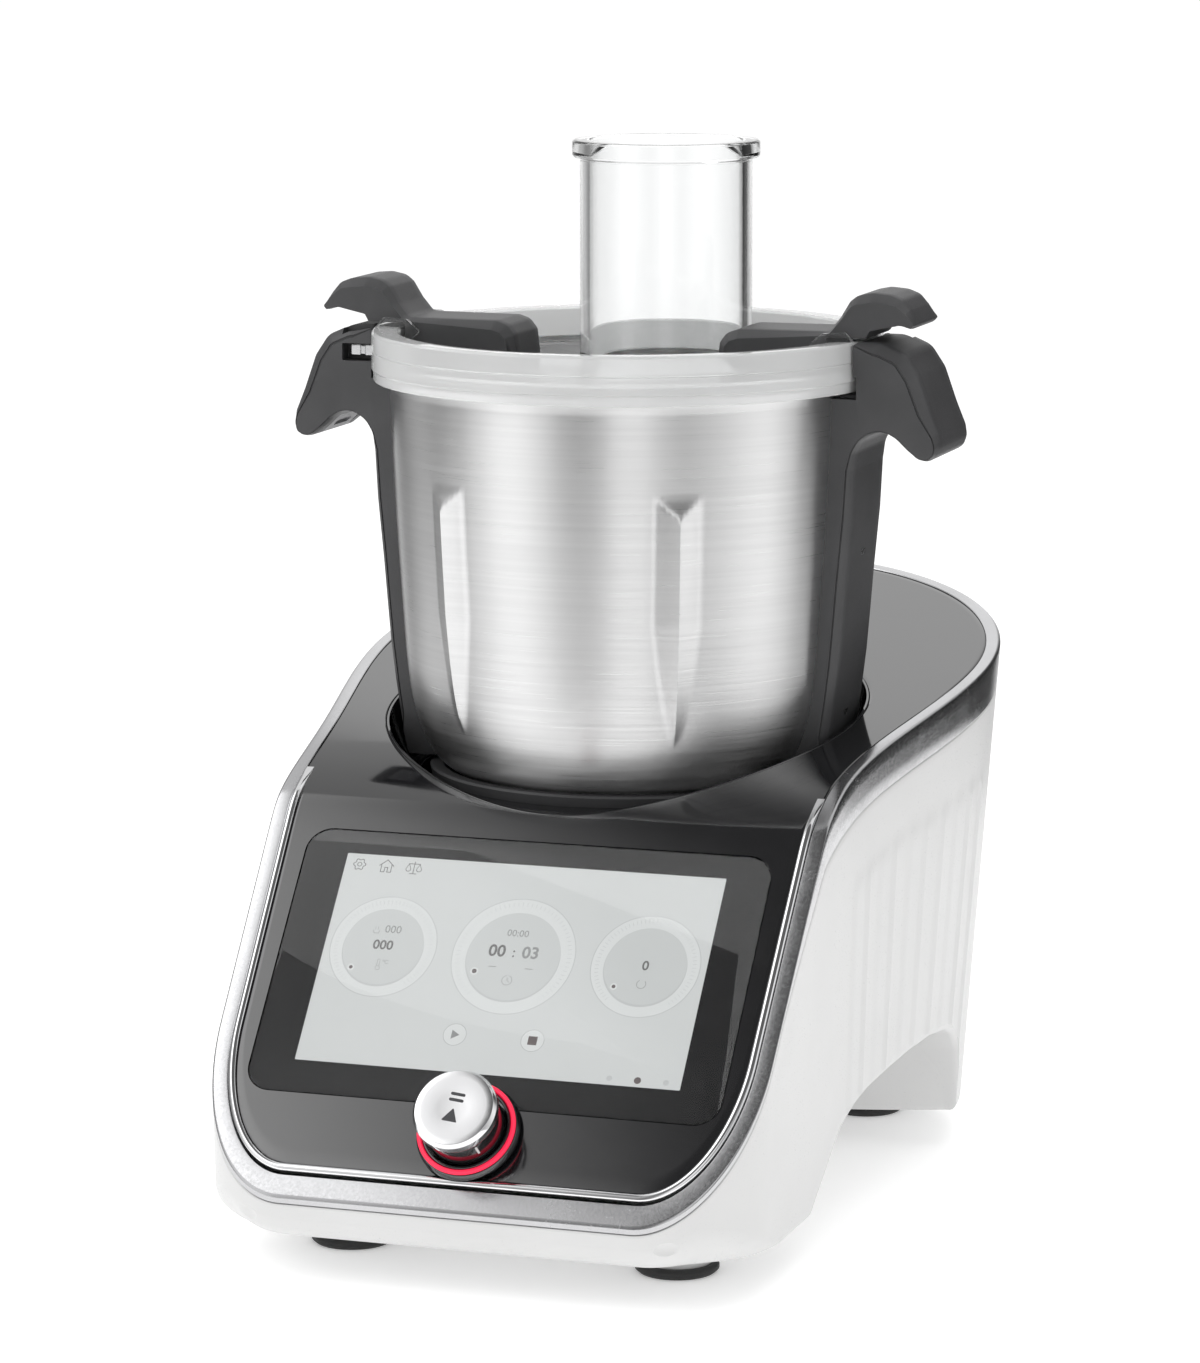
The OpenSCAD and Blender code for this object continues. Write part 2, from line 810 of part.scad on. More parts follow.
module lug() {
    rotate([90, 0, 0]) linear_extrude(height = 2.4) polygon([
        [-89, lid_top - 9], [-80.5, lid_top - 2], [-86, lever_top],
        [-96, lever_top + 0.6], [-99.2, lid_top], [-99.2, lid_top - 9]
    ]);
}

module lugs() {
    translate([0, -lever_half_w - 0.5, 0]) lug();
    translate([0, lever_half_w + 2.9, 0]) lug();
}

module lid() {
    color(clear) difference() {
        union() {
            rotate_extrude() polygon([
                [0, lid_floor - 3], [90, lid_floor - 3], [90.5, 322], [93, 322], [93, 330.6],
                [lid_r - 2.9, 330.6], [lid_r - 2.9, 323.4], [lid_r - 0.6, 323.4],
                [lid_r - 0.6, 327.3], [lid_r, 327.9], [lid_r, lid_top - 0.8],
                [lid_r - 0.8, lid_top], [91.5, lid_top - 0.4], [90.5, lid_floor], [0, lid_floor]
            ]);
            lugs();
            half_turn() lugs();
            for (x = [-50, 47]) translate([x, -2, lid_floor - 1]) cube([3, 4, 12]);
        }
        translate([0, tube_y, 300]) cylinder(r = tube_r, h = 200);
        for (t = [0, 180]) rotate([0, 0, t])
            translate([-110, -bolt_y1 - 0.5, slot_z0 + 0.6])
                cube([30, bolt_y1 - bolt_y0 + 1, 6.4]);
    }
}

module feed_tube() {
    color(clear) translate([0, tube_y, 0]) difference() {
        union() {
            translate([0, 0, lid_floor - 3]) cylinder(r = tube_r, h = tube_top - lid_floor + 1.2);
            translate([0, 0, tube_top - 6.8]) cylinder(r = tube_r + 3, h = 5);
            translate([0, 0, tube_top - 1.8])
                cylinder(r1 = tube_r + 3, r2 = tube_r + 2.2, h = 1.8);
        }
        translate([0, 0, 300]) cylinder(r = bore_r, h = 200);
    }
}

module lid_seal() {
    color("gainsboro") translate([0, 0, bowl_rim + 0.2]) ring(lid_r - 3.2, 93.4, 1.6);
}

// Latch lever at -X: an arm that lies in the lid, and a raised grip above the handle
module lever() {
    difference() {
        rotate([90, 0, 0]) linear_extrude(height = 2 * lever_half_w, center = true) polygon([
            [-121.6, 348.4], [-123, 350], [-119.6, 355.6], [-116.8, 359.4], [-112, 361.2],
            [-105, hump_top], [-99, 360.6], [-96, 358.2], [-92, 351.6], [-87.6, lever_top],
            [-50, lever_top], [-45.6, 344.6], [-42.6, 341], [-41.6, lid_floor + 1],
            [-88, lid_floor + 1], [-88, 344.2], [-90, lid_top + 1], [-103.6, lid_top + 1],
            [-105, 347], [-113, 348.6], [-117, 349.6]
        ]);
        translate([-76, 0, 338]) rotate([0, 90, 0]) cylinder(r = 3.2, h = 29.4, $fn = 32);
        translate([-60.6, -2.4, lid_floor]) cube([14, 4.8, 12]);
    }
}

module latch_left() {
    color(satin_black) lever();
}

module latch_right() {
    color(satin_black) half_turn() lever();
}

// Bolt at -X: reaches from the lever through the lid's wall into the handle's window
module bolt() {
    translate([-110, -bolt_y1, slot_z0 + 2]) cube([26, bolt_y1 - bolt_y0, 4.4]);
    translate([-84, -bolt_y1, slot_z0 + 2]) cube([8, bolt_y1 - lever_half_w, 4.4]);
}

module bolt_left() {
    color("silver") difference() {
        bolt();
        translate([-88.1, -lever_half_w, 300]) cube([20, 30, 60]);
    }
}

module bolt_right() {
    color("silver") half_turn() difference() {
        bolt();
        translate([-88.1, -lever_half_w, 300]) cube([20, 30, 60]);
    }
}

module latch_springs() {
    color("silver") for (t = [0, 180]) rotate([0, 0, t])
        translate([-64, 0, 338]) rotate([0, 90, 0]) ring(2.9, 2.1, 13.9);
}

base_housing();
bottom_cover();
trim_band();
deck_cover();
well_liner();
front_panel();
chrome_bead();
screen_glass();
display_module();
control_board();
knob_collar();
light_ring();
encoder_body();
knob_spring();
knob_plunger();
knob_shaft();
knob_skirt();
knob_cap();
foot_posts();
foot_pads();
load_cells();
motor_can();
motor_stator();
motor_bearings();
motor_bracket();
motor_buffers();
motor_shaft();
motor_rotor();
motor_fan();
drive_dog();
connector_socket();
connector_pins();
power_board();
rear_plate();
power_inlet();
inlet_pins();
power_switch();
bottom_screws();
bowl_shell();
bowl_base_cup();
heater_plate();
heating_element();
connector_block();
handle_left();
handle_right();
handle_inserts();
handle_screws();
blade_bearing();
blade_coupling();
blade_shaft();
blade_set();
blade_nut();
lid();
feed_tube();
lid_seal();
latch_left();
latch_right();
bolt_left();
bolt_right();
latch_springs();
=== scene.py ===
"""Looks of the cooking food processor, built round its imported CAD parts.

Lengths are in millimetres of the shared frame until mesh() turns them into metres.
The origin is on the floor on the bowl's axis, +Z is up and the screen faces -Y.
"""

import math

import bmesh
import bpy
from mathutils import Matrix, Vector
from mathutils.geometry import interpolate_bezier


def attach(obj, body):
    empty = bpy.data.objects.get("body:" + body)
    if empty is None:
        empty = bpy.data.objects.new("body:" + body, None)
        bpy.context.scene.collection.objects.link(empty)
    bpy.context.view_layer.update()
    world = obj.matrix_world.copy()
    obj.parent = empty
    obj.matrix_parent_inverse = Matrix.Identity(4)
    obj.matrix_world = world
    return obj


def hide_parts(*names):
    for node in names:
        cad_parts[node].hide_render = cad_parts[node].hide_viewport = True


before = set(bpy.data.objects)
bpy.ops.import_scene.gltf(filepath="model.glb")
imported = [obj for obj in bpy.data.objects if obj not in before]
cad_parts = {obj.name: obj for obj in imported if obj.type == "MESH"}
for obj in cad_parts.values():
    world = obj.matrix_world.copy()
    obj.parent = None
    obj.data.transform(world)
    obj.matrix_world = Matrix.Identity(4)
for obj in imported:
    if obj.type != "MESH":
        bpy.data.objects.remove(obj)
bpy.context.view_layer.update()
scene = bpy.context.scene

# ---------------------------------------------------------------- design values
TILT = math.radians(39.7)           # lean of the panel from upright
SIN, COS = math.sin(TILT), math.cos(TILT)
PANEL_Y, PANEL_Z = 169.5, 78.8      # lower edge of the lit picture, forwards of the axis and up
PIC_W, PIC_H = 154.2, 89.7          # lit picture
GLASS_W, GLASS_H = 189.0, 113.0
GLASS_V = PIC_H / 2 - 2             # middle of the glass, up the panel
FRONT_Y = -206.0                    # front of the base at panel level
FLARE = (-80.0, 66.0)               # where the sides spread out, and where the round back starts
CORNER_RX, CORNER_RY = 40.0, 45.0   # front corners in plan
WELL_R = 97.2                       # mouth of the well
KNOB_V = -25.0                      # knob's centre, below the picture
VENT_W, VENT_H, VENT_STEP = 84, 3.2, 7  # slots at the back
WINDOW_W, WINDOW_H = 82, 38         # opening for the rear plate
WINDOW_Z = 58                       # its middle
LATCH_Y, LATCH_Z = 19.25, 333.2     # axis of a latch bolt
TUBE_AT = (0, 49)                   # feed tube's axis
SOFT_FOLD = 5.0                     # half the depth of the rounded fold above the screen


def panel_point(v, d=0.0):
    """(y, z) at height v along the panel and depth d below it."""
    return -PANEL_Y + v * SIN + d * COS, PANEL_Z + v * COS - d * SIN


FOLD_Y, FOLD_Z = panel_point(110)


def smooth(t):
    """Soft step from 0 to 1."""
    t = min(1.0, max(0.0, t))
    return t * t * (3 - 2 * t)


def mix(a, b, t):
    """From a to b as t goes from 0 to 1."""
    return a + (b - a) * t


def deck_z(y):
    """Height of the deck, which dips to meet the panel at the fold."""
    return 192 + 0.154 * y - (192 + 0.154 * FOLD_Y - FOLD_Z) * math.exp((FOLD_Y - y) / 22)


def panel_z(y):
    return FOLD_Z + (y - FOLD_Y) / math.tan(TILT)


def top_z(y):
    """Height of the top surface: the panel and the deck with a rounded fold between them."""
    s = y - FOLD_Y
    if abs(s) >= SOFT_FOLD:
        return panel_z(y) if s < 0 else deck_z(y)
    t, w = (s + SOFT_FOLD) / (2 * SOFT_FOLD), 2 * SOFT_FOLD
    low, high = panel_z(FOLD_Y - SOFT_FOLD), deck_z(FOLD_Y + SOFT_FOLD)
    rise_0 = w / math.tan(TILT)
    rise_1 = (deck_z(FOLD_Y + SOFT_FOLD + 0.5) - deck_z(FOLD_Y + SOFT_FOLD - 0.5)) * w
    return ((2 * t ** 3 - 3 * t * t + 1) * low + (t ** 3 - 2 * t * t + t) * rise_0
            + (3 * t * t - 2 * t ** 3) * high + (t ** 3 - t * t) * rise_1)


def band_z(y):
    """Height of the metal band's lower edge."""
    return top_z(y) - max(3.0, 0.6 + 17 * smooth((y + 172) / 108))


def front_w(z):
    """Half width of the base at its front."""
    return 112 + 0.024 * (z - 140)


def rear_w(z):
    """Half width of the base at its back."""
    return 132 + 0.0765 * (z - 203)


def rear_depth(z):
    """How far the round back reaches behind FLARE."""
    return 208 + 0.079 * (z - 223) - FLARE[1]


def side_x(y, z):
    t = smooth((y - FLARE[0]) / (FLARE[1] - FLARE[0]))
    return mix(front_w(z), rear_w(z), t)


# places round the right half of the outline, front centre to back centre
HALF = ([("front", i / 14) for i in range(14)] + [("corner", math.radians(a * 3)) for a in range(30)]
        + [("side", i / 118) for i in range(118)] + [("rear", math.radians(a * 0.75)) for a in range(16)]
        + [("rear", math.radians(12 + a * 2)) for a in range(40)])


def plan(station, z, inset):
    """(x, y) of a station at height z, moved inwards by inset, on the right half."""
    kind, t = station
    cx, cy = front_w(z) - CORNER_RX, FRONT_Y + CORNER_RY
    rx, ry = CORNER_RX - inset, CORNER_RY - inset
    if kind == "front":
        return cx * t, cy - ry
    if kind == "corner":
        return cx + rx * math.sin(t), cy - ry * math.cos(t)
    if kind == "side":
        y = cy + (FLARE[1] - cy) * t
        return side_x(y, z) - inset, y
    return (rear_w(z) - inset) * math.cos(t), FLARE[1] + (rear_depth(z) - inset) * math.sin(t)


# all the stations round the base with a side sign, front centre first
LOOP = [(s, 1) for s in HALF] + [(("rear", math.radians(90)), 1)] + [(s, -1) for s in reversed(HALF[1:])]


def on_top(station, inset):
    """(x, y, z) on the top surface above a station."""
    z = 150.0
    for _ in range(4):
        x, y = plan(station, z, inset)
        z = top_z(y)
    return x, y, z


# ---------------------------------------------------------------- mesh helpers
def add(name, me):
    """A new object in the scene for a mesh."""
    ob = bpy.data.objects.new(name, me)
    scene.collection.objects.link(ob)
    return ob


def mesh(name, verts, faces, sharp=35.0):
    """A new object from points in millimetres."""
    me = bpy.data.meshes.new(name)
    me.from_pydata([(x * 0.001, y * 0.001, z * 0.001) for x, y, z in verts], [], faces)
    bm = bmesh.new()
    bm.from_mesh(me)
    bmesh.ops.remove_doubles(bm, verts=bm.verts, dist=1e-6)
    bmesh.ops.dissolve_degenerate(bm, edges=bm.edges, dist=1e-6)
    bmesh.ops.delete(bm, geom=[e for e in bm.edges if not e.link_faces], context="EDGES")
    bmesh.ops.recalc_face_normals(bm, faces=bm.faces)
    bm.to_mesh(me)
    bm.free()
    me.shade_smooth()
    me.set_sharp_from_angle(angle=math.radians(sharp))
    return add(name, me)


def sections(name, rings, closed=True, sharp=35.0):
    """Skin through closed sections of equal length. A closed run of sections makes a
    ring; an open one gets flat ends."""
    n, m = len(rings[0]), len(rings)
    verts = [p for r in rings for p in r]
    faces = []
    for k in range(m if closed else m - 1):
        a, b = k * n, ((k + 1) % m) * n
        for i in range(n):
            j = (i + 1) % n
            faces.append((a + i, a + j, b + j, b + i))
    if not closed:
        faces.append(tuple(range(n))[::-1])
        faces.append(tuple((m - 1) * n + i for i in range(n)))
    return mesh(name, verts, faces, sharp)


def turned(name, profile, steps=144, centre=(0, 0), sharp=35.0):
    """A closed profile of (radius, height) points turned about a vertical axis."""
    rings = []
    for a in even_angles(steps):
        c, d = math.cos(a), math.sin(a)
        rings.append([(centre[0] + r * c, centre[1] + r * d, z) for r, z in profile])
    return sections(name, rings, True, sharp)


def polar(name, angles, section, sharp):
    """Skin round the vertical axis through section(angle)'s (radius, height) points. Angle 0 is the front."""
    rings = [[(math.sin(a) * r, -math.cos(a) * r, z) for r, z in section(a)] for a in angles]
    return sections(name, rings, True, sharp)


def even_angles(steps):
    return [2 * math.pi * i / steps for i in range(steps)]


def fillet(points, radii, segs=5):
    """Rounds the corners of a closed 2-D polygon. radii is one number or one per corner."""
    out = []
    n = len(points)
    for i in range(n):
        r = radii if isinstance(radii, (int, float)) else radii[i]
        p = Vector(points[i]).to_2d()
        a = Vector(points[i - 1]).to_2d() - p
        b = Vector(points[(i + 1) % n]).to_2d() - p
        if r <= 0 or a.length < 1e-6 or b.length < 1e-6:
            out.append(tuple(p))
            continue
        angle = a.angle(b)
        if not math.radians(4) <= angle <= math.radians(176):
            out.append(tuple(p))
            continue
        d = min(r / math.tan(angle / 2), a.length * 0.48, b.length * 0.48)
        start, end = p + a.normalized() * d, p + b.normalized() * d
        k = 0.55 if angle < math.radians(120) else 0.6
        pts = interpolate_bezier(
            start.to_3d(), start.lerp(p, k).to_3d(), end.lerp(p, k).to_3d(), end.to_3d(), segs + 1)
        out += [(q.x, q.y) for q in pts]
    return out


def shrink(points, widths, closed=False, side=1):
    """Moves a line of points sideways (to its left for side 1). Stretches that would
    turn back on themselves are drawn together into the corner where they meet."""
    n = len(points)
    pts = [Vector(p) for p in points]
    out = []
    for i, p in enumerate(pts):
        a, b = (pts[i - 1], pts[(i + 1) % n]) if closed else (pts[max(i - 1, 0)], pts[min(i + 1, n - 1)])
        t = (b - a).normalized() if (b - a).length > 1e-6 else Vector((1, 0))
        out.append(p + Vector((-t.y, t.x)) * (widths[i] * side))
    last = n if closed else n - 1
    for _ in range(4):
        turned_back = [(out[(i + 1) % n] - out[i]).dot(pts[(i + 1) % n] - pts[i]) < 0 for i in range(last)]
        if not any(turned_back):
            break
        i = 0
        while i < last:
            if not turned_back[i]:
                i += 1
                continue
            j = i
            while j < last and turned_back[j]:
                j += 1
            p, q = out[i - 1], out[i]
            r, v = out[j % n], out[(j + 1) % n] if closed or j + 1 < n else out[j % n]
            meet = (q + r) / 2
            det = (q - p).cross(v - r)
            if abs(det) > 1e-9:
                k = (r - p).cross(v - r) / det
                hit = p + (q - p) * k
                if (hit - meet).length < 8:
                    meet = hit
            for m in range(i, j + 1):
                out[m % n] = meet.copy()
            i = j + 1
    return [(p.x, p.y) for p in out]


def spline(points, per=6):
    """Smooth open curve through 2-D or 3-D points."""
    pts = [Vector(p) for p in points]
    out = []
    for i in range(len(pts) - 1):
        p0, p1 = pts[max(i - 1, 0)], pts[i]
        p2, p3 = pts[i + 1], pts[min(i + 2, len(pts) - 1)]
        for s in range(per):
            t = s / per
            out.append(0.5 * ((2 * p1) + (p2 - p0) * t + (2 * p0 - 5 * p1 + 4 * p2 - p3) * t * t
                              + (3 * p1 - p0 - 3 * p2 + p3) * t ** 3))
    out.append(pts[-1])
    return [tuple(p) for p in out]


def bevel(ob, width, segs=2, angle=30.0):
    """Rounds the edges of a piece that are sharper than an angle."""
    m = ob.modifiers.new("edge", "BEVEL")
    m.width, m.segments, m.limit_method = width * 0.001, segs, "ANGLE"
    m.angle_limit = math.radians(angle)
    return ob


def combine(ob, others, how="DIFFERENCE"):
    """Cuts the others out of ob, or joins them to it, and removes them."""
    for o in others:
        m = ob.modifiers.new("cut", "BOOLEAN")
        m.object, m.operation, m.solver = o, how, "EXACT"
    bpy.context.view_layer.update()
    dg = bpy.context.evaluated_depsgraph_get()
    dg.update()
    made, old = bpy.data.meshes.new_from_object(ob.evaluated_get(dg)), ob.data
    ob.modifiers.clear()
    ob.data = made
    bpy.data.meshes.remove(old)
    for o in others:
        bpy.data.objects.remove(o)
    ob.data.shade_smooth()
    ob.data.set_sharp_from_angle(angle=math.radians(32))
    return ob


def moved(ob, matrix):
    """Places a mesh by a matrix, which may also mirror it."""
    if matrix:
        ob.data.transform(matrix)
        if matrix.determinant() < 0:
            ob.data.flip_normals()
    return ob


def prism(name, outline, z0, z1, matrix=None, sharp=35.0):
    """A flat outline of (x, y) points pushed from z0 to z1, then placed by a matrix."""
    rings = [[(x, y, z0) for x, y in outline], [(x, y, z1) for x, y in outline]]
    return moved(sections(name, rings, False, sharp), matrix)


def slab(name, w, h, r, z0, z1, chamfer=0.3, centre=(0, 0), matrix=None, segs=6):
    """A rounded plate with softened upper and lower edges."""
    def outline(cut):
        a, b = w / 2 - cut, h / 2 - cut
        pts = fillet([(a, b), (-a, b), (-a, -b), (a, -b)], max(r - cut, 0.05), segs)
        return [(centre[0] + x, centre[1] + y) for x, y in pts]
    levels = [(z0, chamfer), (z0 + chamfer, 0), (z1 - chamfer, 0), (z1 - chamfer * 0.3, chamfer * 0.3),
              (z1, chamfer)]
    rings = [[(x, y, z) for x, y in outline(c)] for z, c in levels]
    return moved(sections(name, rings, False, 25), matrix)


def join(name, parts):
    """One object from several."""
    bm = bmesh.new()
    for p in parts:
        bm.from_mesh(p.data)
    me = bpy.data.meshes.new(name)
    bm.to_mesh(me)
    bm.free()
    for m in parts[0].data.materials:
        me.materials.append(m)
    for p in parts:
        bpy.data.objects.remove(p)
    return add(name, me)


# X across, Y up along the panel, Z out of it
ON_PANEL = Matrix.Translation((0, -PANEL_Y * 0.001, PANEL_Z * 0.001)) @ Matrix.Rotation(
    math.radians(90) - TILT, 4, "X")
ON_KNOB = ON_PANEL @ Matrix.Translation((0, KNOB_V * 0.001, 0))
HALF_TURN = Matrix.Rotation(math.pi, 4, "Z")
# places a part of the left side on either side
SIDES = {"left": Matrix.Identity(4), "right": HALF_TURN}
# X across and Z up, pushed towards +Y
FACING_BACK = Matrix(((1, 0, 0, 0), (0, 0, 1, 0), (0, 1, 0, 0), (0, 0, 0, 1)))
# X across and Z up, pushed towards -Y
FACING_FRONT = Matrix(((1, 0, 0, 0), (0, 0, -1, 0), (0, 1, 0, 0), (0, 0, 0, 1)))
UNDER_GRIP = Matrix.Translation((-0.1262, 0, 0.2977)) @ Matrix.Rotation(math.radians(-42.5), 4, "Y")


# ---------------------------------------------------------------- materials
def node(tree, kind, inputs, **settings):
    """A node with its settings. An input is given a value, or a socket to be linked to."""
    n = tree.nodes.new(kind)
    for k, v in settings.items():
        setattr(n, k, v)
    feed(tree, n, inputs)
    return n


def feed(tree, n, inputs):
    """Sets or links the inputs of a node."""
    for k, v in inputs.items():
        if isinstance(v, bpy.types.NodeSocket):
            tree.links.new(v, n.inputs[k])
        else:
            n.inputs[k].default_value = v


def new_material(name):
    mat = bpy.data.materials.new(name)
    mat.use_nodes = True
    return mat, mat.node_tree


def finish_of(name, color, rough=0.4, metal=0.0, tone=0.05, gloss=0.08, scale=40.0, stretch=(1, 1, 1),
              bump=0.05, fine=600.0, marks=0.05, sockets=None):
    """A surface with uneven tone, uneven gloss, a fine grain and faint handling marks."""
    mat, t = new_material(name)
    place = node(t, "ShaderNodeTexCoord", {}).outputs["Object"]
    laid = node(t, "ShaderNodeMapping", {"Vector": place, "Scale": stretch}).outputs["Vector"]
    broad = node(t, "ShaderNodeTexNoise", {"Vector": laid, "Scale": scale, "Detail": 4}).outputs["Fac"]
    grain = node(t, "ShaderNodeTexNoise", {"Vector": laid, "Scale": fine, "Detail": 3}).outputs["Fac"]
    smear = node(t, "ShaderNodeTexNoise", {"Vector": place, "Scale": 14, "Detail": 6, "Distortion": 1.5})
    ramp = node(t, "ShaderNodeValToRGB", {"Fac": broad})
    for stop, at, k in zip(ramp.color_ramp.elements, (0.3, 0.7), (1 - tone, 1 + tone)):
        stop.position = at
        stop.color = (*(min(c * k, 1) for c in color), 1)
    even = node(t, "ShaderNodeMapRange", {"Value": grain, "From Min": 0.3, "From Max": 0.7,
                                          "To Min": max(rough - gloss, 0.0), "To Max": rough + gloss})
    touched = node(t, "ShaderNodeMapRange", {"Value": smear.outputs["Fac"], "From Min": 0.52,
                                             "From Max": 0.72, "To Max": marks})
    total = node(t, "ShaderNodeMath", {0: even.outputs["Result"], 1: touched.outputs["Result"]},
                 operation="ADD", use_clamp=True)
    rise = node(t, "ShaderNodeBump", {"Strength": bump, "Distance": 0.0002, "Height": grain})
    feed(t, t.nodes["Principled BSDF"], {
        "Base Color": ramp.outputs["Color"], "Roughness": total.outputs["Value"],
        "Normal": rise.outputs["Normal"], "Metallic": metal, **(sockets or {})})
    return mat


def brushed(name, color, rough, aniso, stretch, **more):
    """Brushed metal with lines round the vertical axis."""
    mat = finish_of(name, color, rough, 1.0, stretch=stretch, **more)
    t = mat.node_tree
    round_axis = node(t, "ShaderNodeTangent", {}, direction_type="RADIAL", axis="Z")
    feed(t, t.nodes["Principled BSDF"], {"Anisotropic": aniso, "Anisotropic Rotation": 0.25,
                                         "Tangent": round_axis.outputs["Tangent"]})
    return mat


M = {
    "white": finish_of("white_body", (0.70, 0.70, 0.697), 0.34, tone=0.012, fine=1500, bump=0.03),
    "trim": finish_of("satin_trim", (0.56, 0.56, 0.57), 0.2, 1.0, tone=0.03, gloss=0.05, fine=900),
    "bright": finish_of("polished_metal", (0.86, 0.86, 0.87), 0.06, 1.0, tone=0.02, gloss=0.03,
                        marks=0.08, bump=0.01),
    "gloss": finish_of("gloss_black", (0.006, 0.006, 0.007), 0.07, tone=0.3, gloss=0.02, marks=0.05,
                       bump=0.006, sockets={"IOR": 2.0}),
    "bezel": finish_of("bezel_black", (0.004, 0.004, 0.005), 0.35, tone=0.3, gloss=0.05, bump=0.01,
                       sockets={"IOR": 1.15}),
    "satin": finish_of("satin_black", (0.05, 0.05, 0.052), 0.46, tone=0.12, gloss=0.06, fine=2600,
                       bump=0.12),
    "rubber": finish_of("black_rubber", (0.02, 0.02, 0.02), 0.62, tone=0.2, fine=1800, bump=0.2),
    "grey": finish_of("grey_plastic", (0.3, 0.3, 0.31), 0.42, tone=0.08, fine=1700, bump=0.1),
    "steel": brushed("bowl_steel", (0.80, 0.80, 0.80), 0.34, 0.86, (0.05, 0.05, 9), tone=0.035,
                     gloss=0.07, scale=60, fine=420, bump=0.05, marks=0.04),
    "plain_steel": finish_of("machined_steel", (0.66, 0.66, 0.67), 0.25, 1.0, stretch=(1, 1, 6),
                             fine=700, bump=0.08),
    "iron": finish_of("laminated_iron", (0.2, 0.2, 0.21), 0.42, 0.8, tone=0.15, stretch=(1, 1, 30),
                      fine=500, bump=0.2),
    "alloy": finish_of("cast_alloy", (0.56, 0.56, 0.57), 0.36, 1.0, tone=0.06, fine=1200, bump=0.2),
    "brass": finish_of("brass", (0.72, 0.54, 0.25), 0.28, 1.0, tone=0.06, fine=900, bump=0.1),
    "board": finish_of("board_green", (0.03, 0.16, 0.07), 0.38, tone=0.15, fine=700, bump=0.15),
    "silicone": finish_of("seal_silicone", (0.72, 0.72, 0.71), 0.5, tone=0.03, fine=1500, bump=0.1,
                          sockets={"Subsurface Weight": 0.15}),
    "clear": finish_of("clear_plastic", (0.985, 0.99, 0.99), 0.015, tone=0.003, gloss=0.01,
                       bump=0.004, marks=0.03,
                       sockets={"Transmission Weight": 1.0, "IOR": 1.49}),
    "rim": finish_of("clear_rim", (0.93, 0.935, 0.935), 0.05, tone=0.01, gloss=0.03, bump=0.01,
                     marks=0.04, sockets={"Transmission Weight": 0.52, "IOR": 1.45}),
    "glass": finish_of("screen_glass", (0.99, 0.99, 0.99), 0.02, tone=0.003, gloss=0.004, bump=0.0004,
                       marks=0.0, sockets={"Transmission Weight": 1.0, "IOR": 1.36}),
}


def lit(name, color, strength, base, tone):
    """A surface that gives off light of its own."""
    return finish_of(name, base, 0.5, tone=tone, sockets={
        "Emission Color": (*color, 1), "Emission Strength": strength})


M["ring"] = lit("ring_glow", (1.0, 0.01, 0.06), 0.55, (0.75, 0.02, 0.07), 0.1)
for key, name, color, strength, base, tone in (
        ("screen", "screen_white", (0.66, 0.685, 0.68), 0.82, 0.1, 0.02),
        ("ui_pale", "screen_pale", (0.73, 0.755, 0.75), 0.82, 0.1, 0.01),
        ("ui_shade", "screen_shade", (0.54, 0.56, 0.56), 0.82, 0.1, 0.02),
        ("ui_face", "screen_face", (0.60, 0.625, 0.62), 0.82, 0.1, 0.02),
        ("ui_grey", "screen_grey", (0.13, 0.13, 0.13), 0.8, 0.05, 0.05),
        ("ui_mid", "screen_mid", (0.28, 0.29, 0.29), 0.8, 0.05, 0.05),
        ("ui_dark", "screen_dark", (0.13, 0.10, 0.10), 0.7, 0.05, 0.05)):
    M[key] = lit(name, color, strength, (base, base, base), tone)
M["mark"] = finish_of("printed_mark", (0.05, 0.05, 0.055), 0.5, tone=0.1)
M["tick"] = finish_of("pointer_white", (0.7, 0.7, 0.7), 0.4, tone=0.05)


def put(ob, body, mat, slot, *nodes):
    """Gives a piece its finish, its body and the CAD nodes that it stands for."""
    ob.data.materials.clear()
    ob.data.materials.append(M[mat])
    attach(ob, body)
    if nodes:
        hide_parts(*nodes)
    return ob


# ---------------------------------------------------------------- base: housing
BOTTOM, REAR_BOTTOM = 15, 13.5      # underside of the front part and of the rear legs
WALL = 3.0                          # thickness of the housing
# middle of each side rib, and (y, height) along the line where they fade out
RIB_Y = (-58, -45, -33, -20, -6, 9, 25, 40, 55, 70)
RIB_TOP = ((-56, 142), (-31, 148.5), (-4.5, 153), (26.5, 156), (54, 159.5), (72, 161))
# (y, height) along the arch under each side
ARCH = ((-104, 15), (-101, 17), (-96, 20.5), (-84, 28), (-67, 40), (-51, 46), (-36, 49.5), (-14, 52.5),
        (8, 55), (32, 56), (52, 54), (63, 49.5), (71, 42), (76, 31), (79, 21), (80.5, 13.5))
ARCH_Y = (ARCH[0][0], ARCH[-1][0])


def along(table, t):
    """Linear look-up in a table of (t, value)."""
    if t <= table[0][0]:
        return table[0][1]
    for (a, u), (b, v) in zip(table, table[1:]):
        if t <= b:
            return mix(u, v, (t - a) / (b - a))
    return table[-1][1]


def rib_height(y, z):
    """Height of the raised ribs on the side of the base: a crest with a slope behind it."""
    fade = smooth((along(RIB_TOP, y) - z) / 9)
    if fade <= 0 or not -66 < y < 76:
        return 0
    crest, slope, run = 1.35, 0.6, 13
    rise = 0
    for c in RIB_Y:
        u = y - c
        rise = max(rise, crest * math.exp(-(u / 0.9) ** 2))
        if 0 < u < run:
            rise = max(rise, slope * (1 - u / run))
    return rise * fade


def lower_edge(y):
    """Height of the underside at a place on the outline."""
    if y < ARCH_Y[0]:
        return BOTTOM
    return along(ARCH, y) if y < ARCH_Y[1] else REAR_BOTTOM


def recess(y, z):
    """How far the wall under the arch stands back from the side."""
    if not ARCH_Y[0] < y < ARCH_Y[1]:
        return 0.4
    back = side_x(y, z) - 66
    return max(0.4, back * (1 - max(0, (y - 38) / 42) ** 3) * smooth((y + 106) / 16))


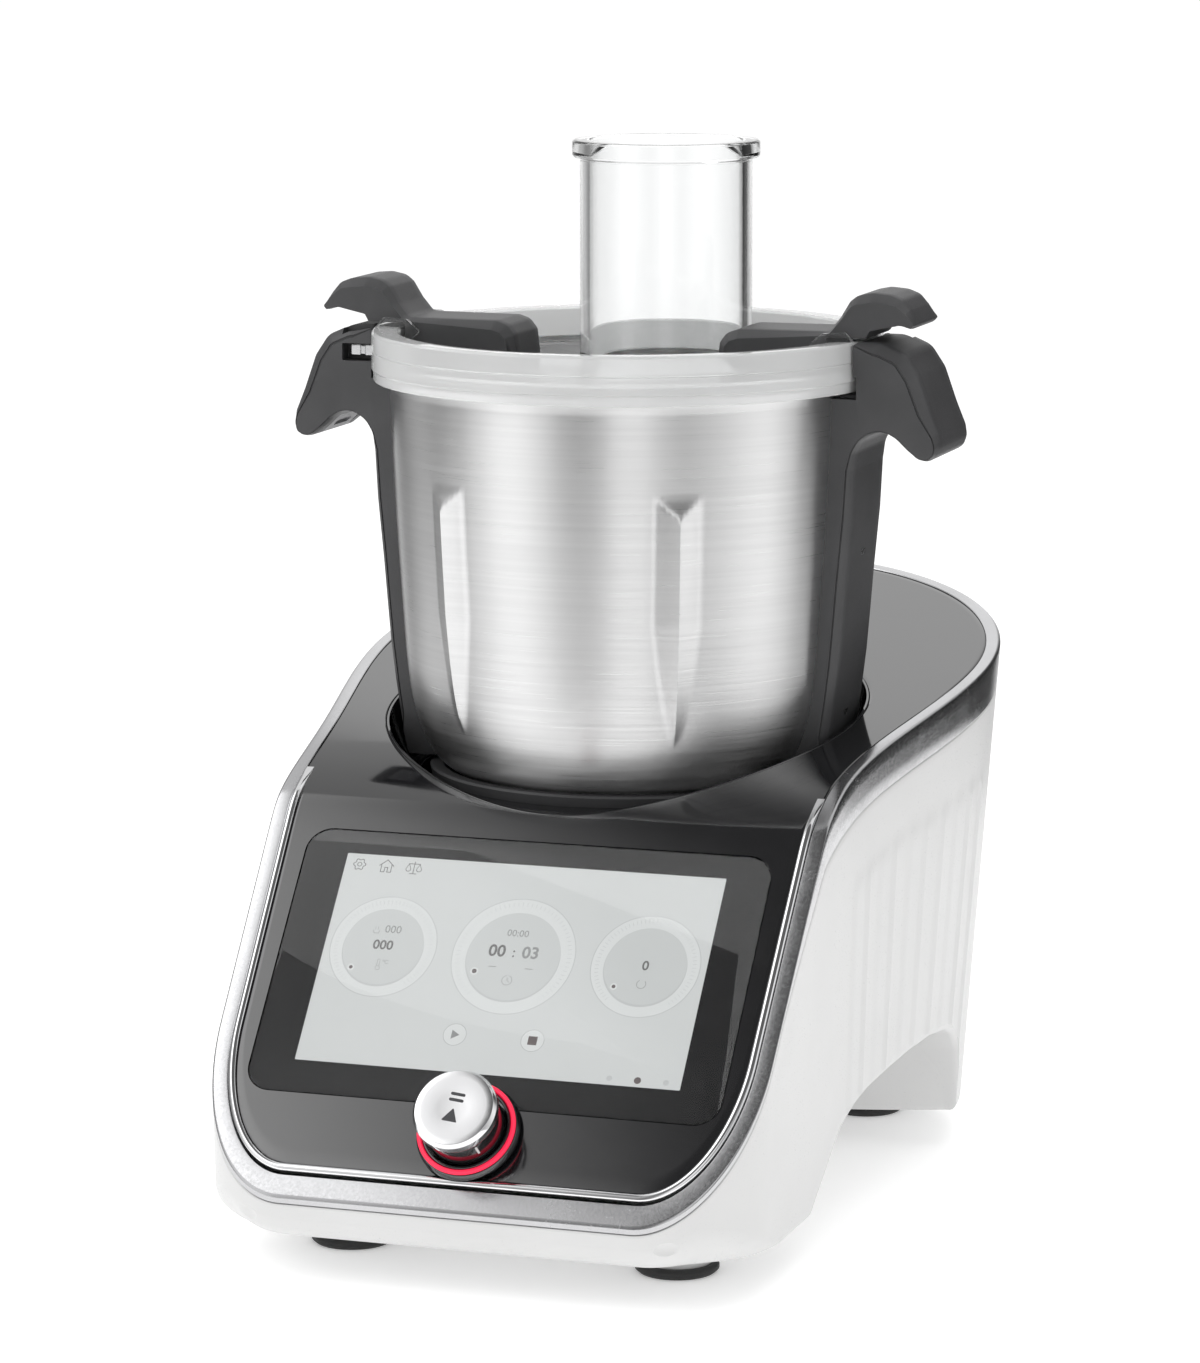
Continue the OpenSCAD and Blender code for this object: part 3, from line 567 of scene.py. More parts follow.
def lip_depth(y):
    """How far the rounded lower edge runs in under the base."""
    return mix(24, 2.6, smooth((y + 200) / 60))


# underside of the front lip: (share of its height, share of its depth)
LIP = ((1, 0), (0.88, 0.01), (0.76, 0.035), (0.62, 0.08), (0.48, 0.15), (0.35, 0.25), (0.23, 0.37),
       (0.13, 0.52), (0.06, 0.68), (0.02, 0.84), (0, 1))


def housing_section(station, sign):
    """Outside of the wall downwards, the lip, the recess under the arch, and back up inside."""
    y = on_top(station, 0)[1]
    top, low = band_z(y), lower_edge(y)
    foot = min(BOTTOM - 1.5 * smooth((y - 40) / 34), low)
    lip = min(mix(19, 3, smooth((y + 200) / 60)), (top - low) * 0.7)
    turn = lip_depth(y)
    rows = [(top - 0.1, 2.9), (top - 0.1, 0.55), (top - 0.55, 0.12), (top - 1.1, 0.0)]
    steps = 58
    rows += [(mix(top - 1.1, low + lip, i / steps), 0.0) for i in range(1, steps + 1)]
    rows += [(low + lip * rise, turn * depth) for rise, depth in LIP[1:]]
    deep = recess(y, low)
    inner = turn + deep
    rows.append((low + 0.05, mix(turn, inner, 0.5)))
    if low > foot + 0.5:
        r = min(14.0, (low - foot) * 0.5, deep * 0.7)
        for k in range(5):
            a = math.pi / 8 * k
            rows.append((low - r + r * math.cos(a), inner - r + r * math.sin(a)))
        r = min(2.0, (low - foot) / 3)
        rows += [(foot + r, inner), (foot + 0.3 * r, inner + 0.3 * r), (foot, inner + r)]
        edge = inner + r
    else:
        rows += [(low, inner + 0.2 * i) for i in range(1, 9)]
        edge = inner + 1.8
    rows += [(foot, edge + 6), (foot + 2.6, edge + 6), (max(foot + 3.4, low + 3.4), max(edge + 3, WALL)),
             (low + lip * 0.3 + 3, turn * 0.4 + 3), (low + lip + 3, 3.2),
             (mix(low + lip + 3, top - 2, 0.5), WALL), (top - 2, WALL)]
    out = []
    for z, inset in rows:
        x, y = plan(station, z, inset)
        if inset == 0.0 and station[0] in ("side", "rear"):
            x += rib_height(y, z)
        out.append((sign * x, y, z))
    return out


def base_housing():
    """White housing with its rear vents, the opening for the rear plate and two dimples in the lip."""
    a, b = VENT_W / 2, WINDOW_W / 2
    cutters = []
    for z in range(96, 96 + 7 * VENT_STEP, VENT_STEP):
        pts = fillet([(a, z), (a, z + VENT_H), (-a, z + VENT_H), (-a, z)], 1.5, 4)
        cutters.append(prism("slot", pts, 150, 230, FACING_BACK))
    low, high = WINDOW_Z - WINDOW_H / 2, WINDOW_Z + WINDOW_H / 2
    pts = fillet([(b, low), (b, high), (-b, high), (-b, low)], 2.5, 5)
    cutters.append(prism("window", pts, 150, 240, FACING_BACK))
    for g in (1, -1):
        bm = bmesh.new()
        bmesh.ops.create_icosphere(bm, subdivisions=4, radius=0.0125)
        me = bpy.data.meshes.new("dimple")
        bm.to_mesh(me)
        bm.free()
        me.transform(Matrix.Translation((g * 0.088, -0.2125, 0.0255)) @ Matrix.Scale(0.62, 4, (0, 0, 1)))
        cutters.append(add("dimple", me))
    ob = combine(sections("base_shell", [housing_section(s, g) for s, g in LOOP], True, 30), cutters)
    put(ob, "base", "white", "white_plastic", "base_housing")


def trim_section(station, sign):
    """Outside of the band upwards, its rounded top edge, the flat top, and back down inside."""
    y, z = on_top(station, 0)[1:]
    low = band_z(y)
    soft = mix(0.7, 1.6, smooth((y + 108) / 30))
    drop = z - low
    foot = low + min(1.2, drop * 0.4)
    rows = [(low + 0.15, 2.8), (low + 0.15, 0.5), (low + 0.5, 0.08), (foot, 0.0)]
    rows += [(mix(foot, z - soft, t), 0.0) for t in (0.35, 0.7, 1.0)]
    out = []
    for z, inset in rows:
        x, y = plan(station, z, inset)
        out.append((sign * x, y, z))
    # (distance inwards, depth below the top surface)
    turns = [math.radians(a) for a in (25, 50, 75, 90)]
    upper = [(soft * (1 - math.cos(a)), soft * (1 - math.sin(a))) for a in turns]
    upper += [(3.2, 0), (5.2, 0), (5.75, 0.06), (6.0, 0.35), (6.0, 4), (2.8, min(4, drop * 0.8))]
    for inset, depth in upper:
        x, y, z = on_top(station, inset)
        out.append((sign * x, y, z - depth))
    return out


def trim_band():
    ob = sections("trim_ring", [trim_section(s, g) for s, g in LOOP], True, 28)
    put(ob, "base", "trim", "trim_metal", "trim_band")


def chrome_bead():
    """Rounded bright moulding round the front panel, which dies away past the fold."""
    places = [(s, g) for s, g in LOOP if plan(s, 150, 7.75)[1] < -80]
    split = [i for i, (s, g) in enumerate(places) if g < 0][0]
    centres = []
    for s, g in places[split:] + places[:split]:
        x, y, z = on_top(s, 7.7)
        centres.append(Vector((g * x, y, z)))
    rings = []
    for i, c in enumerate(centres):
        a, b = centres[max(i - 1, 0)], centres[min(i + 1, len(centres) - 1)]
        n = Vector((0, -(top_z(c.y + 0.5) - top_z(c.y - 0.5)), 1)).normalized()
        side = n.cross((b - a).normalized()).normalized()
        w, h = 1.55, 1.25 * smooth((-80 - c.y) / 16) + 0.02
        ring = []
        for k in range(13):
            a = math.pi * k / 12
            ring.append(tuple(c + side * (w * math.cos(a)) + n * (h * math.sin(a) ** 0.8 - 0.05)))
        rings.append(ring + [tuple(c - side * w - n * 1.6), tuple(c + side * w - n * 1.6)])
    put(sections("bead", rings, False, 40), "base", "bright", "bright_metal", "chrome_bead")


# ---------------------------------------------------------------- base: black top
def reach(angle):
    """Distance from the bowl's axis to the edge of the black top, in a direction."""
    dx, dy = math.sin(angle), -math.cos(angle)
    lo, hi = 90.0, 260.0
    for _ in range(26):
        r = (lo + hi) / 2
        x, y = abs(dx * r), dy * r
        z = top_z(y)
        inset = mix(9.35, 6.25, smooth((y + 97) / 14))
        cx, cy = front_w(z) - CORNER_RX, FRONT_Y + CORNER_RY
        if y >= FLARE[1]:
            inside = (x / (rear_w(z) - inset)) ** 2 + ((y - FLARE[1]) / (rear_depth(z) - inset)) ** 2 < 1
        elif y >= cy:
            inside = x < side_x(y, z) - inset
        elif x < cx:
            inside = y > cy - CORNER_RY + inset
        else:
            inside = ((x - cx) / (CORNER_RX - inset)) ** 2 + ((y - cy) / (CORNER_RY - inset)) ** 2 < 1
        lo, hi = (r, hi) if inside else (lo, r)
    return lo


def top_section(angle):
    """Top surface from the well to the edge, and back below."""
    far = reach(angle)
    near = WELL_R + 0.1
    count, ease, thick = 56, 0.25, 3.4
    rows = []
    for i in range(count + 1):
        rows.append((mix(near, far, i / count), ease if 0 < i < count else 0.55))
    rows += [(r, thick) for r in (far, mix(WELL_R, far, 0.5), near)]
    return [(r, top_z(-math.cos(angle) * r) - depth) for r, depth in rows]


def top_sheet():
    """Deck and panel in one gloss moulding, open over the well."""
    hole = slab("hole", GLASS_W + 0.7, GLASS_H + 0.7, 10.3, -2.3, 12, 0.05, (0, GLASS_V), ON_PANEL, 10)
    window = slab("window", 166.4, 101.6, 1, -14, 4, 0.05, (0, GLASS_V - 4 + 2.8), ON_PANEL)
    bore = moved(turned("bore", [(0, -9), (5.2, -9), (5.2, 9), (0, 9)], 48), ON_KNOB)
    ob = combine(polar("black_top", even_angles(420), top_section, 40), [hole, window, bore])
    put(ob, "base", "gloss", "gloss_black", "deck_cover", "front_panel")


def well_section(angle):
    """Collar round the foot of the bowl from its edge downwards, and the well below it."""
    dx, dy = math.sin(angle), -math.cos(angle)
    floor = 166.3 - 1.6 * max(0, -dy) ** 2
    edge = top_z(dy * WELL_R) - 0.2
    tight = 80.6 + 4.2 * dx ** 4
    section = [(WELL_R - 0.4, edge - 6), (WELL_R - 0.05, edge - 0.5), (WELL_R - 0.4, edge),
               (WELL_R - 1.2, edge - 0.12)]
    for t in (1 - i / 18 for i in range(1, 19)):
        section.append((mix(tight, WELL_R - 1.2, t), floor + (edge - 0.3 - floor) * t ** 2.3))
    return section + [(tight - 0.5, floor - 0.25), (tight - 0.9, floor - 1.0), (tight - 1.0, 154),
                      (tight - 3.5, 149.6), (72, 149), (17.6, 149), (17, 148.4), (17, 146),
                      (WELL_R - 0.4, 146)]


def well_funnel():
    ob = polar("well_collar", even_angles(240), well_section, 42)
    put(ob, "base", "gloss", "gloss_black", "well_liner")


# ---------------------------------------------------------------- base: screen
def screen():
    """Clear glass, the black print behind it, and the lit picture in the print's opening."""
    glass = slab("touch_glass", GLASS_W, GLASS_H, 10, -0.75, -0.12, 0.22, (0, GLASS_V), ON_PANEL, 12)
    put(glass, "base", "glass", "screen_glass", "screen_glass")
    mask = slab("bezel_print", GLASS_W - 0.3, GLASS_H - 0.3, 9.85, -2.25, -0.78, 0.1, (0, GLASS_V),
                ON_PANEL, 12)
    hole = slab("hole", PIC_W, PIC_H, 0.4, -5, 2, 0.02, (0, PIC_H / 2), ON_PANEL)
    put(combine(mask, [hole]), "base", "bezel", "gloss_black")
    panel = slab("picture", PIC_W - 0.2, PIC_H - 0.2, 0.5, -8.1, -0.98, 0.05, (0, PIC_H / 2), ON_PANEL)
    put(panel, "base", "screen", "display", "display_module")


def ui_z(level):
    """Height of a layer of the picture."""
    return -0.96 + 0.012 * level


def disc(outline, level):
    """A thin raised shape of the picture, one step higher for each level."""
    return prism("ui", outline, ui_z(level) - 0.01, ui_z(level), ON_PANEL)


def circle(cx, cy, r, n):
    return [(cx + r * math.cos(a), cy + r * math.sin(a)) for a in even_angles(n)]


def hoop(cx, cy, r, w, level, n, start=0.0, end=360.0):
    """A thin round line, whole or part of the way."""
    a0, a1 = math.radians(start), math.radians(end)
    top, low, near, far = ui_z(level), ui_z(level) - 0.01, r - w / 2, r + w / 2
    corners = ((near, top), (far, top), (far, low), (near, low))
    whole = abs(end - start) > 359.9
    rings = []
    for i in range(n if whole else n + 1):
        a = a0 + (a1 - a0) * i / n
        c, s = math.cos(a), math.sin(a)
        rings.append([(cx + d * c, cy + d * s, z) for d, z in corners])
    return moved(sections("ui", rings, whole), ON_PANEL)


def line(points, w, level):
    """Joined straight strokes."""
    parts = []
    for a, b in zip(points, points[1:]):
        a, b = Vector(a), Vector(b)
        d = (b - a).normalized()
        n = Vector((-d.y, d.x)) * w / 2
        a, b = a - d * w / 2, b + d * w / 2
        parts.append(disc([tuple(a + n), tuple(a - n), tuple(b - n), tuple(b + n)], level))
    return parts


def digits(body, cx, cy, height, level, weight=0.0):
    """Figures centred on a point, as flat mesh."""
    cu = bpy.data.curves.new("figures", "FONT")
    cu.body = body
    cu.align_x, cu.align_y = "CENTER", "CENTER"
    cu.size = height * 1.38 * 0.001  # the font's figures stand 0.72 of its size
    cu.extrude = 0.000005
    cu.offset = weight * 0.001
    cu.resolution_u = 4
    ob = add("figures", cu)
    bpy.context.view_layer.update()
    me = bpy.data.meshes.new_from_object(ob.evaluated_get(bpy.context.evaluated_depsgraph_get()))
    bpy.data.objects.remove(ob)
    me.transform(ON_PANEL @ Matrix.Translation((cx * 0.001, cy * 0.001, ui_z(level) * 0.001)))
    return add("ui", me)


def dial(cx, cy, outer, inner):
    """A round control of the picture: shaded rim, pale ring with ticks, and a face."""
    ticks = []
    for i in range(60):
        a = math.radians(230 - i * 280 / 59)
        c, s = math.cos(a), math.sin(a)
        ticks += line([(cx + r * c, cy + r * s) for r in (outer - 3.0, outer - 1.6)], 0.16, 2)
    for name, mat, parts in (
            ("rim", "ui_shade", [hoop(cx, cy, outer, 0.35, 1, 96)]),
            ("ring", "ui_pale", [disc(circle(cx, cy, outer - 0.2, 96), 1)]),
            ("ticks", "ui_shade", ticks),
            ("shade", "ui_shade", [disc(circle(cx, cy - 0.7, inner + 0.25, 96), 2)]),
            ("face", "ui_face", [disc(circle(cx, cy, inner, 96), 3)])):
        put(join(f"dial_{name}_{round(cx)}", parts), "base", mat, "display")


def signs():
    """Settings, home and scales signs at the top of the picture."""
    x, y = -71.1, 85
    gear = []
    for a in even_angles(48):
        r = 2.2 + 0.35 * math.cos(6 * a)
        gear.append((x + r * math.cos(a), y + r * math.sin(a)))
    out = line(gear + gear[:1], 0.3, 1) + [hoop(x, y, 0.85, 0.28, 1, 24)]
    x, y = -59.9, 84.8
    out += line([(x - 2.9, y + 0.3), (x, y + 2.9), (x + 2.9, y + 0.3)], 0.32, 1)
    out += line([(x - 2.1, y + 0.8), (x - 2.1, y - 2.4), (x - 0.6, y - 2.4), (x - 0.6, y - 0.4),
                 (x + 0.6, y - 0.4), (x + 0.6, y - 2.4), (x + 2.1, y - 2.4), (x + 2.1, y + 0.8)], 0.3, 1)
    x, y = -48.6, 85
    out += line([(x, y + 2.6), (x, y - 2.6)], 0.3, 1) + line([(x - 1.3, y - 2.6), (x + 1.3, y - 2.6)], 0.3, 1)
    out += line([(x - 2.3, y + 1.7), (x + 2.3, y + 1.7)], 0.3, 1)
    for g in (-1, 1):
        out += line([(x + g * 3.2, y - 0.6), (x + g * 2.2, y + 1.7), (x + g * 1.2, y - 0.6)], 0.24, 1)
        out.append(hoop(x + g * 2.2, y - 0.6, 1.0, 0.28, 1, 16, 180, 360))
    return out


def picture():
    """What the screen shows: three dials, signs, buttons and page marks."""
    dial(-53, 50.4, 21.5, 16.2)
    dial(0, 50.3, 24.6, 18.6)
    dial(53, 50.2, 21.5, 16.2)
    grey, mid, dark, pale = signs(), [], [], []
    # figures: text, place, height, layer and weight
    grey.append(digits("000", -53.2, 50.9, 4.0, 5, 0.12))
    mid.append(digits("000", -50.6, 57.8, 3.3, 5))
    mid.append(digits("00:00", -0.2, 60, 2.9, 5))
    grey.append(digits("00", -6.9, 52, 5.0, 5, 0.16))
    grey.append(digits(":", -0.1, 51.8, 4.4, 5, 0.05))
    mid.append(digits("03", 6.6, 52, 5.0, 5, 0.16))
    grey.append(digits("0", 53, 50.3, 4.0, 5, 0.1))
    # warming hand, thermometer, clock and turning arrow
    mid += line([(-58.6, 57.2), (-58.2, 55.9), (-56.4, 55.9), (-56.0, 57.2)], 0.18, 5)
    for x, low, high, w in ((-57.9, 57.6, 58.7, 0.15), (-56.8, 57.6, 58.7, 0.15), (-53.8, 44.4, 42.2, 0.16),
                            (-52.8, 44.4, 42.2, 0.16)):
        mid += line([(x, low), (x, high)], w, 5)
    for ring in ((-53.3, 41.2, 0.9, 0.18, 5, 20), (-53.3, 44.4, 0.5, 0.16, 5, 12, 0, 180),
                 (-51.4, 44.4, 0.35, 0.14, 5, 12), (-50.0, 43.9, 0.75, 0.18, 5, 16, 40, 320),
                 (-0.3, 40, 2.0, 0.2, 5, 40, 100, 440)):
        mid.append(hoop(*ring))
    mid += line([(-0.3, 41), (-0.3, 40), (0.6, 39.4)], 0.18, 5)
    mid.append(hoop(52.9, 42.6, 1.8, 0.2, 5, 40, 120, 410))
    for x, y in ((-7.4, 45.4), (7.3, 45.4)):
        mid += line([(x - 1.4, y), (x + 1.4, y)], 0.3, 5)
    # set points on the dials
    for x, y, r in ((-64, 40.7, 0.75), (-14.1, 42.9, 0.95), (42.3, 40.8, 0.75)):
        pale.append(disc(circle(x, y, r + 0.7, 24), 5))
        dark.append(disc(circle(x, y, r, 24), 6))
    # start and stop buttons, page marks
    for x in (-15.7, 15.5):
        mid.append(hoop(x, 15.7, 4.55, 0.12, 2, 48))
        pale.append(disc(circle(x, 15.7, 4.5, 48), 1))
    mid.append(disc([(-17, 13.8), (-17, 17.6), (-13.8, 15.7)], 3))
    dark.append(disc([(13.7, 13.9), (13.7, 17.5), (17.3, 17.5), (17.3, 13.9)], 3))
    pages = [disc(circle(x, 2.8, 1.15, 24), 2) for x in (48.8, 71.1)]
    dark.append(disc(circle(59.9, 2.8, 1.4, 24), 2))
    for name, parts, mat in (("ui_lines", grey, "ui_grey"), ("ui_soft_lines", mid, "ui_mid"),
                             ("ui_marks", dark, "ui_dark"), ("ui_plates", pale, "ui_pale"),
                             ("ui_pages", pages, "ui_shade")):
        put(join(name, parts), "base", mat, "display")


# ---------------------------------------------------------------- base: knob and feet
def round_part(name, profile, radii, *putting, segs=4, steps=144, sharp=35.0):
    """A turned piece on the knob's axis, heights measured out of the panel."""
    put(moved(turned(name, fillet(profile, radii, segs), steps, sharp=sharp), ON_KNOB), *putting)


def knob():
    """Seat, lit ring, and the turning knob with its printed signs and pointer."""
    round_part("knob_seat", [(5.4, 0.02), (17.0, 0.02), (17.1, 1.5), (20.3, 1.6), (20.1, 2.6), (19.4, 4.3),
                             (17.7, 4.3), (17.5, 1.9), (5.4, 1.9)],
               [0.2, 0.2, 0.3, 0.4, 0.8, 0.5, 0.3, 0.2, 0.2], "base", "gloss", "gloss_black", "knob_collar")
    round_part("ring_guard", [(16.0, 1.95), (17.3, 1.95), (17.3, 5.3), (16.9, 5.7), (16.2, 5.7), (16.0, 5.4)],
               [0.1, 0.1, 0.3, 0.3, 0.3, 0.2], "base", "gloss", "gloss_black")
    round_part("glow_ring", [(17.4, 4.4), (19.1, 4.4), (19.2, 5.3), (18.6, 6.0), (17.7, 6.0), (17.4, 5.6)],
               [0.1, 0.3, 0.5, 0.5, 0.3, 0.2], "base", "ring", "ring_light", "light_ring")
    round_part("knob_side", [(3.1, 3.5), (15.2, 3.5), (15.35, 4.2), (14.75, 13.5), (14.4, 16.5), (3.1, 16.5)],
               [0.1, 0.4, 0.3, 2, 0.3, 0.1], "knob", "gloss", "satin_black", "knob_skirt")
    round_part("knob_face", [(0, 16.7), (15.2, 16.7), (15.9, 17.2), (16.25, 18.0), (16.25, 20.9),
                             (15.1, 22.45), (12.5, 22.5), (6, 22.35), (0, 22.3)],
               [0, 0.3, 0.4, 0.5, 0.35, 0.35, 0, 0, 0], "knob", "bright", "bright_metal", "knob_cap",
               segs=5, steps=180, sharp=30)
    turn = ON_KNOB @ Matrix.Rotation(math.radians(-6), 4, "Z")
    marks = [slab("mark", 5.8, 1.15, 0.56, 22.3, 22.55, 0.06, (0, y), turn, 5) for y in (5.6, 3.2)]
    marks.append(prism("mark", fillet([(-3.2, -5.6), (3.0, -5.6), (0.1, -0.2)], 0.25, 3), 22.2, 22.52, turn))
    put(join("knob_signs", marks), "knob", "mark", "grey_plastic")
    side = (Matrix.Rotation(math.radians(-52), 4, "Z") @ Matrix.Translation((0.01475, 0, 0.0118))
            @ Matrix.Rotation(math.radians(90), 4, "Y") @ Matrix.Rotation(math.radians(90), 4, "Z"))
    tick = slab("knob_pointer", 0.9, 5.4, 0.44, 0, 0.25, 0.06, (0, 0), ON_KNOB @ side, 5)
    put(tick, "knob", "tick", "grey_plastic")


def feet():
    """Four stems with their rubber pads."""
    pad = fillet([(0, 0.3), (9.5, 0.3), (9.9, 0), (14.6, 0), (16.2, 1.4), (16.2, 2.9), (15.3, 4.1),
                  (13.9, 4.2), (13.15, 3.6), (13.1, 1.9), (0, 1.9)],
                 [0, 0.2, 0.2, 0.8, 0.8, 0.6, 0.4, 0.3, 0.3, 0.2, 0], 4)
    posts, pads = [], []
    for x in (-66, 66):
        for y, top in ((-138, 15.2), (121, 14)):
            post = fillet([(0, 2), (12.4, 2), (13, 3), (13.1, top), (0, top)], [0, 0.4, 0.4, 0, 0], 3)
            posts.append(turned("post", post, 72, (x, y)))
            pads.append(turned("pad", pad, 96, (x, y)))
    put(join("foot_stems", posts), "base", "white", "white_plastic", "foot_posts")
    put(join("foot_rings", pads), "base", "rubber", "rubber", "foot_pads")


def mirrored(half, shared=0):
    """A whole outline from its right half, of which the first points may be shared."""
    return half + [(-x, y) for x, y in reversed(half[shared:])]


def belly():
    """Underside of the housing between the legs."""
    right = []
    for station in HALF:
        y = plan(station, BOTTOM, 0)[1]
        if y > 78:
            break
        right.append(plan(station, BOTTOM, lip_depth(y) + recess(y, BOTTOM) + 5))
    right = [p for p in right if p[1] < 78.5] + [(right[-1][0], 78.5)]
    front = prism("belly", mirrored(right, 1), 15.1, 18)
    combine(front, [prism("hole", [(-55, -108), (55, -108), (55, 76), (-55, 76)], 10, 30)])
    rear = [p for p in (plan(station, 8, 9) for station in HALF) if p[1] > 79.5]
    heel = prism("heel", mirrored([(rear[0][0], 79.2)] + rear), 13.6, 16.4)
    step = prism("step", [(-100, 79), (100, 79), (100, 81.5), (-100, 81.5)], 13.6, 17.9)
    put(bevel(join("underside", [front, heel, step]), 0.4), "base", "white", "white_plastic")


# ---------------------------------------------------------------- bowl
# outside of the bowl below its rim
BOWL_WALL = spline([(66, 166.3), (70, 167), (73.6, 169.4), (76.4, 172), (78.9, 175.4), (81.8, 181.3),
                    (84.4, 188), (87.0, 199), (88.8, 214), (90.1, 232), (91.3, 250), (92.4, 268), (93.2, 284),
                    (94, 302), (94.5, 320)], 5)


def wall_r(z):
    """Outer radius of the bowl's wall, without its ribs."""
    return along([(b, a) for a, b in BOWL_WALL], z)


RIB_AT = tuple(math.radians(a) for a in (-30.5, 30.5, 149.5, 210.5))


def off(phi, c):
    """Angle from c to phi, within half a turn."""
    return (phi - c + math.pi) % (2 * math.pi) - math.pi


def pressed(phi, z):
    """Height of the pressed ribs on the bowl: two facets, a roof on top, a point below."""
    if not 191.5 < z < 288:
        return 0
    half_width, crest, soft = 9.0, 3.7, 0.7
    best = 0
    for c in RIB_AT:
        u = off(phi, c) * wall_r(z)
        if abs(u) > 12:
            continue
        taper = min(1.0, (z - 191.5) / 46) ** 0.52
        face = crest * taper * (1 - abs(u - 0.3) / (half_width * taper))
        d = min(face, (287 - z) * 0.52)
        if d <= soft:
            d = (d + soft) ** 2 / (4 * soft) if d > -soft else 0
        best = max(best, d)
    return best


def bowl_angles():
    """Directions round the bowl, closer together over the ribs."""
    out = []
    for i in range(360):
        a = math.radians(i - 180)
        parts = 3 if min(abs(off(a, c)) for c in RIB_AT) < math.radians(7.5) else 1
        out += [a + math.radians(k / parts) for k in range(parts)]
    return out


def bowl():
    """Steel bowl with its rolled rim and pressed ribs, 1.2 mm thick."""
    wall = []
    for a, b in zip(BOWL_WALL, BOWL_WALL[1:]):
        n = max(1, round(abs(b[1] - a[1]) / 1.6))
        wall += [(mix(a[0], b[0], i / n), mix(a[1], b[1], i / n)) for i in range(n)]
    wall.append(BOWL_WALL[-1])
    rim = [(95.4, 323.6), (97.2, 325), (98, 326.2), (98, 328.3), (97.7, 328.6), (97.0, 328.6),
           (96.8, 327.6), (96.0, 326.2), (94.6, 324.8), (93.4, 322)]

    def section(angle):
        outside = [(r + pressed(angle, z), z) for r, z in wall]
        inside = [(r - 1.2, z + 0.5) for r, z in reversed(outside[::2])]
        return [(14.2, 166), (40, 166), (62, 166)] + outside + rim + inside + [(60, 167.2), (14.2, 167.2)]

    put(polar("bowl_wall", bowl_angles(), section, 32), "bowl", "steel", "bowl_steel", "bowl_shell")


# outline of the left handle from its top round the grip and down the leg, and how round each corner is
HANDLE = [(-94, 343), (-110, 343), (-119.8, 338.8), (-125.4, 330.5), (-130.2, 317), (-133.9, 308),
          (-134.5, 303.5), (-133.1, 299.6), (-129.9, 297.4), (-126.2, 298.1), (-121.6, 301.8),
          (-117.4, 305.8), (-112.6, 308.4), (-107.6, 308), (-103.4, 305), (-101.1, 300), (-100.2, 293),
          (-99.2, 274), (-96.8, 249), (-95.4, 232), (-94, 216), (-92, 200), (-89.4, 183), (-86.4, 172),
          (-85.3, 170)]
HANDLE_SOFT = [0.6, 10, 8, 8, 20, 6, 5, 4, 4, 5, 8, 10, 10, 8, 8, 8, 8, 60, 60, 60, 60, 60, 60, 4, 1.2]
HANDLE_Z = [170 + 152.2 * i / 34 for i in range(35)] + [322.35 + 20.65 * i / 6 for i in range(7)]


def inner_x(y, z):
    """Inner side of a handle, which hugs the bowl and clears the lid."""
    r = 103.0 if z > 322.3 else wall_r(z) - 0.5
    return -math.sqrt(r * r - y * y)


def handle(name, matrix, cad):
    """Hooked grip and leg with a chamfered band and a fine groove along its edge."""
    closed = fillet(HANDLE + [(-80, 170), (-80, 343)], HANDLE_SOFT + [0, 0], 6)
    line_pts = [p for p in closed if p[0] <= -80.5]
    run = [0.0]
    for a, b in zip(line_pts, line_pts[1:]):
        run.append(run[-1] + (Vector(b) - Vector(a)).length)
    tip = run[min(range(len(run)), key=lambda i: line_pts[i][0])]
    leg = min(v for v, p in zip(run, line_pts) if p[0] > -102 and p[1] < 303)
    widths = ((0, 1.2), (4, 5.0), (tip - 16, 5.0), (tip - 3, 2.4), (tip + 5, 0.9), (leg - 6, 0.9),
              (leg + 10, 3.2), (run[-1] - 18, 3.2), (run[-1] - 9, 0.8), (run[-1], 0.8))
    band = [along(widths, v) for v in run]
    half = 24.0
    # (distance in from the end face, the same on the inner side, share of the band cut away)
    edge = [(0, 0, 1.0), (0.02, 0.02, 0.94), (0.65, 0.1, 0.91), (0.7, 0.18, 0.79), (0.15, 0.26, 0.74),
            (1.2, 1.2, 0.5), (3.4, 3.4, 0.08), (4.2, 4.2, 0.0)]
    levels = [(-half + y, -half + i, c) for y, i, c in edge]
    levels += [(y, y, 0.0) for y in (-15, -10, -5, 0, 5, 10, 15)]
    levels += [(-y, -i, c) for y, i, c in reversed(levels[:len(edge)])]
    rings = []
    for y, inner_y, cut in levels:
        outer = shrink(line_pts, [w * cut for w in band])
        ring = [(min(x, inner_x(y, z) - 0.05), y, z) for x, z in outer]
        for z in (min(max(z, outer[-1][1]), outer[0][1]) for z in HANDLE_Z):
            ring.append((inner_x(inner_y, z), inner_y, z))
        rings.append(ring)
    win = slab("win", 14, 7, 0.6, 0, 30, 0.02, (-105.5, 332.5),
               FACING_FRONT @ Matrix.Translation((0, 0, 0.0165)))
    slot = slab("slot", 13, 14, 0.5, 0, 6.6, 0.02, (-106.5, 336),
                FACING_FRONT @ Matrix.Translation((0, 0, 0.0159)))
    seat = slab("seat", 11.6, 28.4, 1.5, -3, 1.8, 0.02, (6.3, 0), UNDER_GRIP)
    notch = slab("notch", 14, 20, 0.4, 0, 9, 0.02, (-94.5, 28), Matrix.Translation((0, 0, 0.321)))
    ob = moved(combine(sections(name, rings, False, 24), [win, slot, seat, notch]), matrix)
    put(ob, "bowl", "satin", "satin_black", cad)


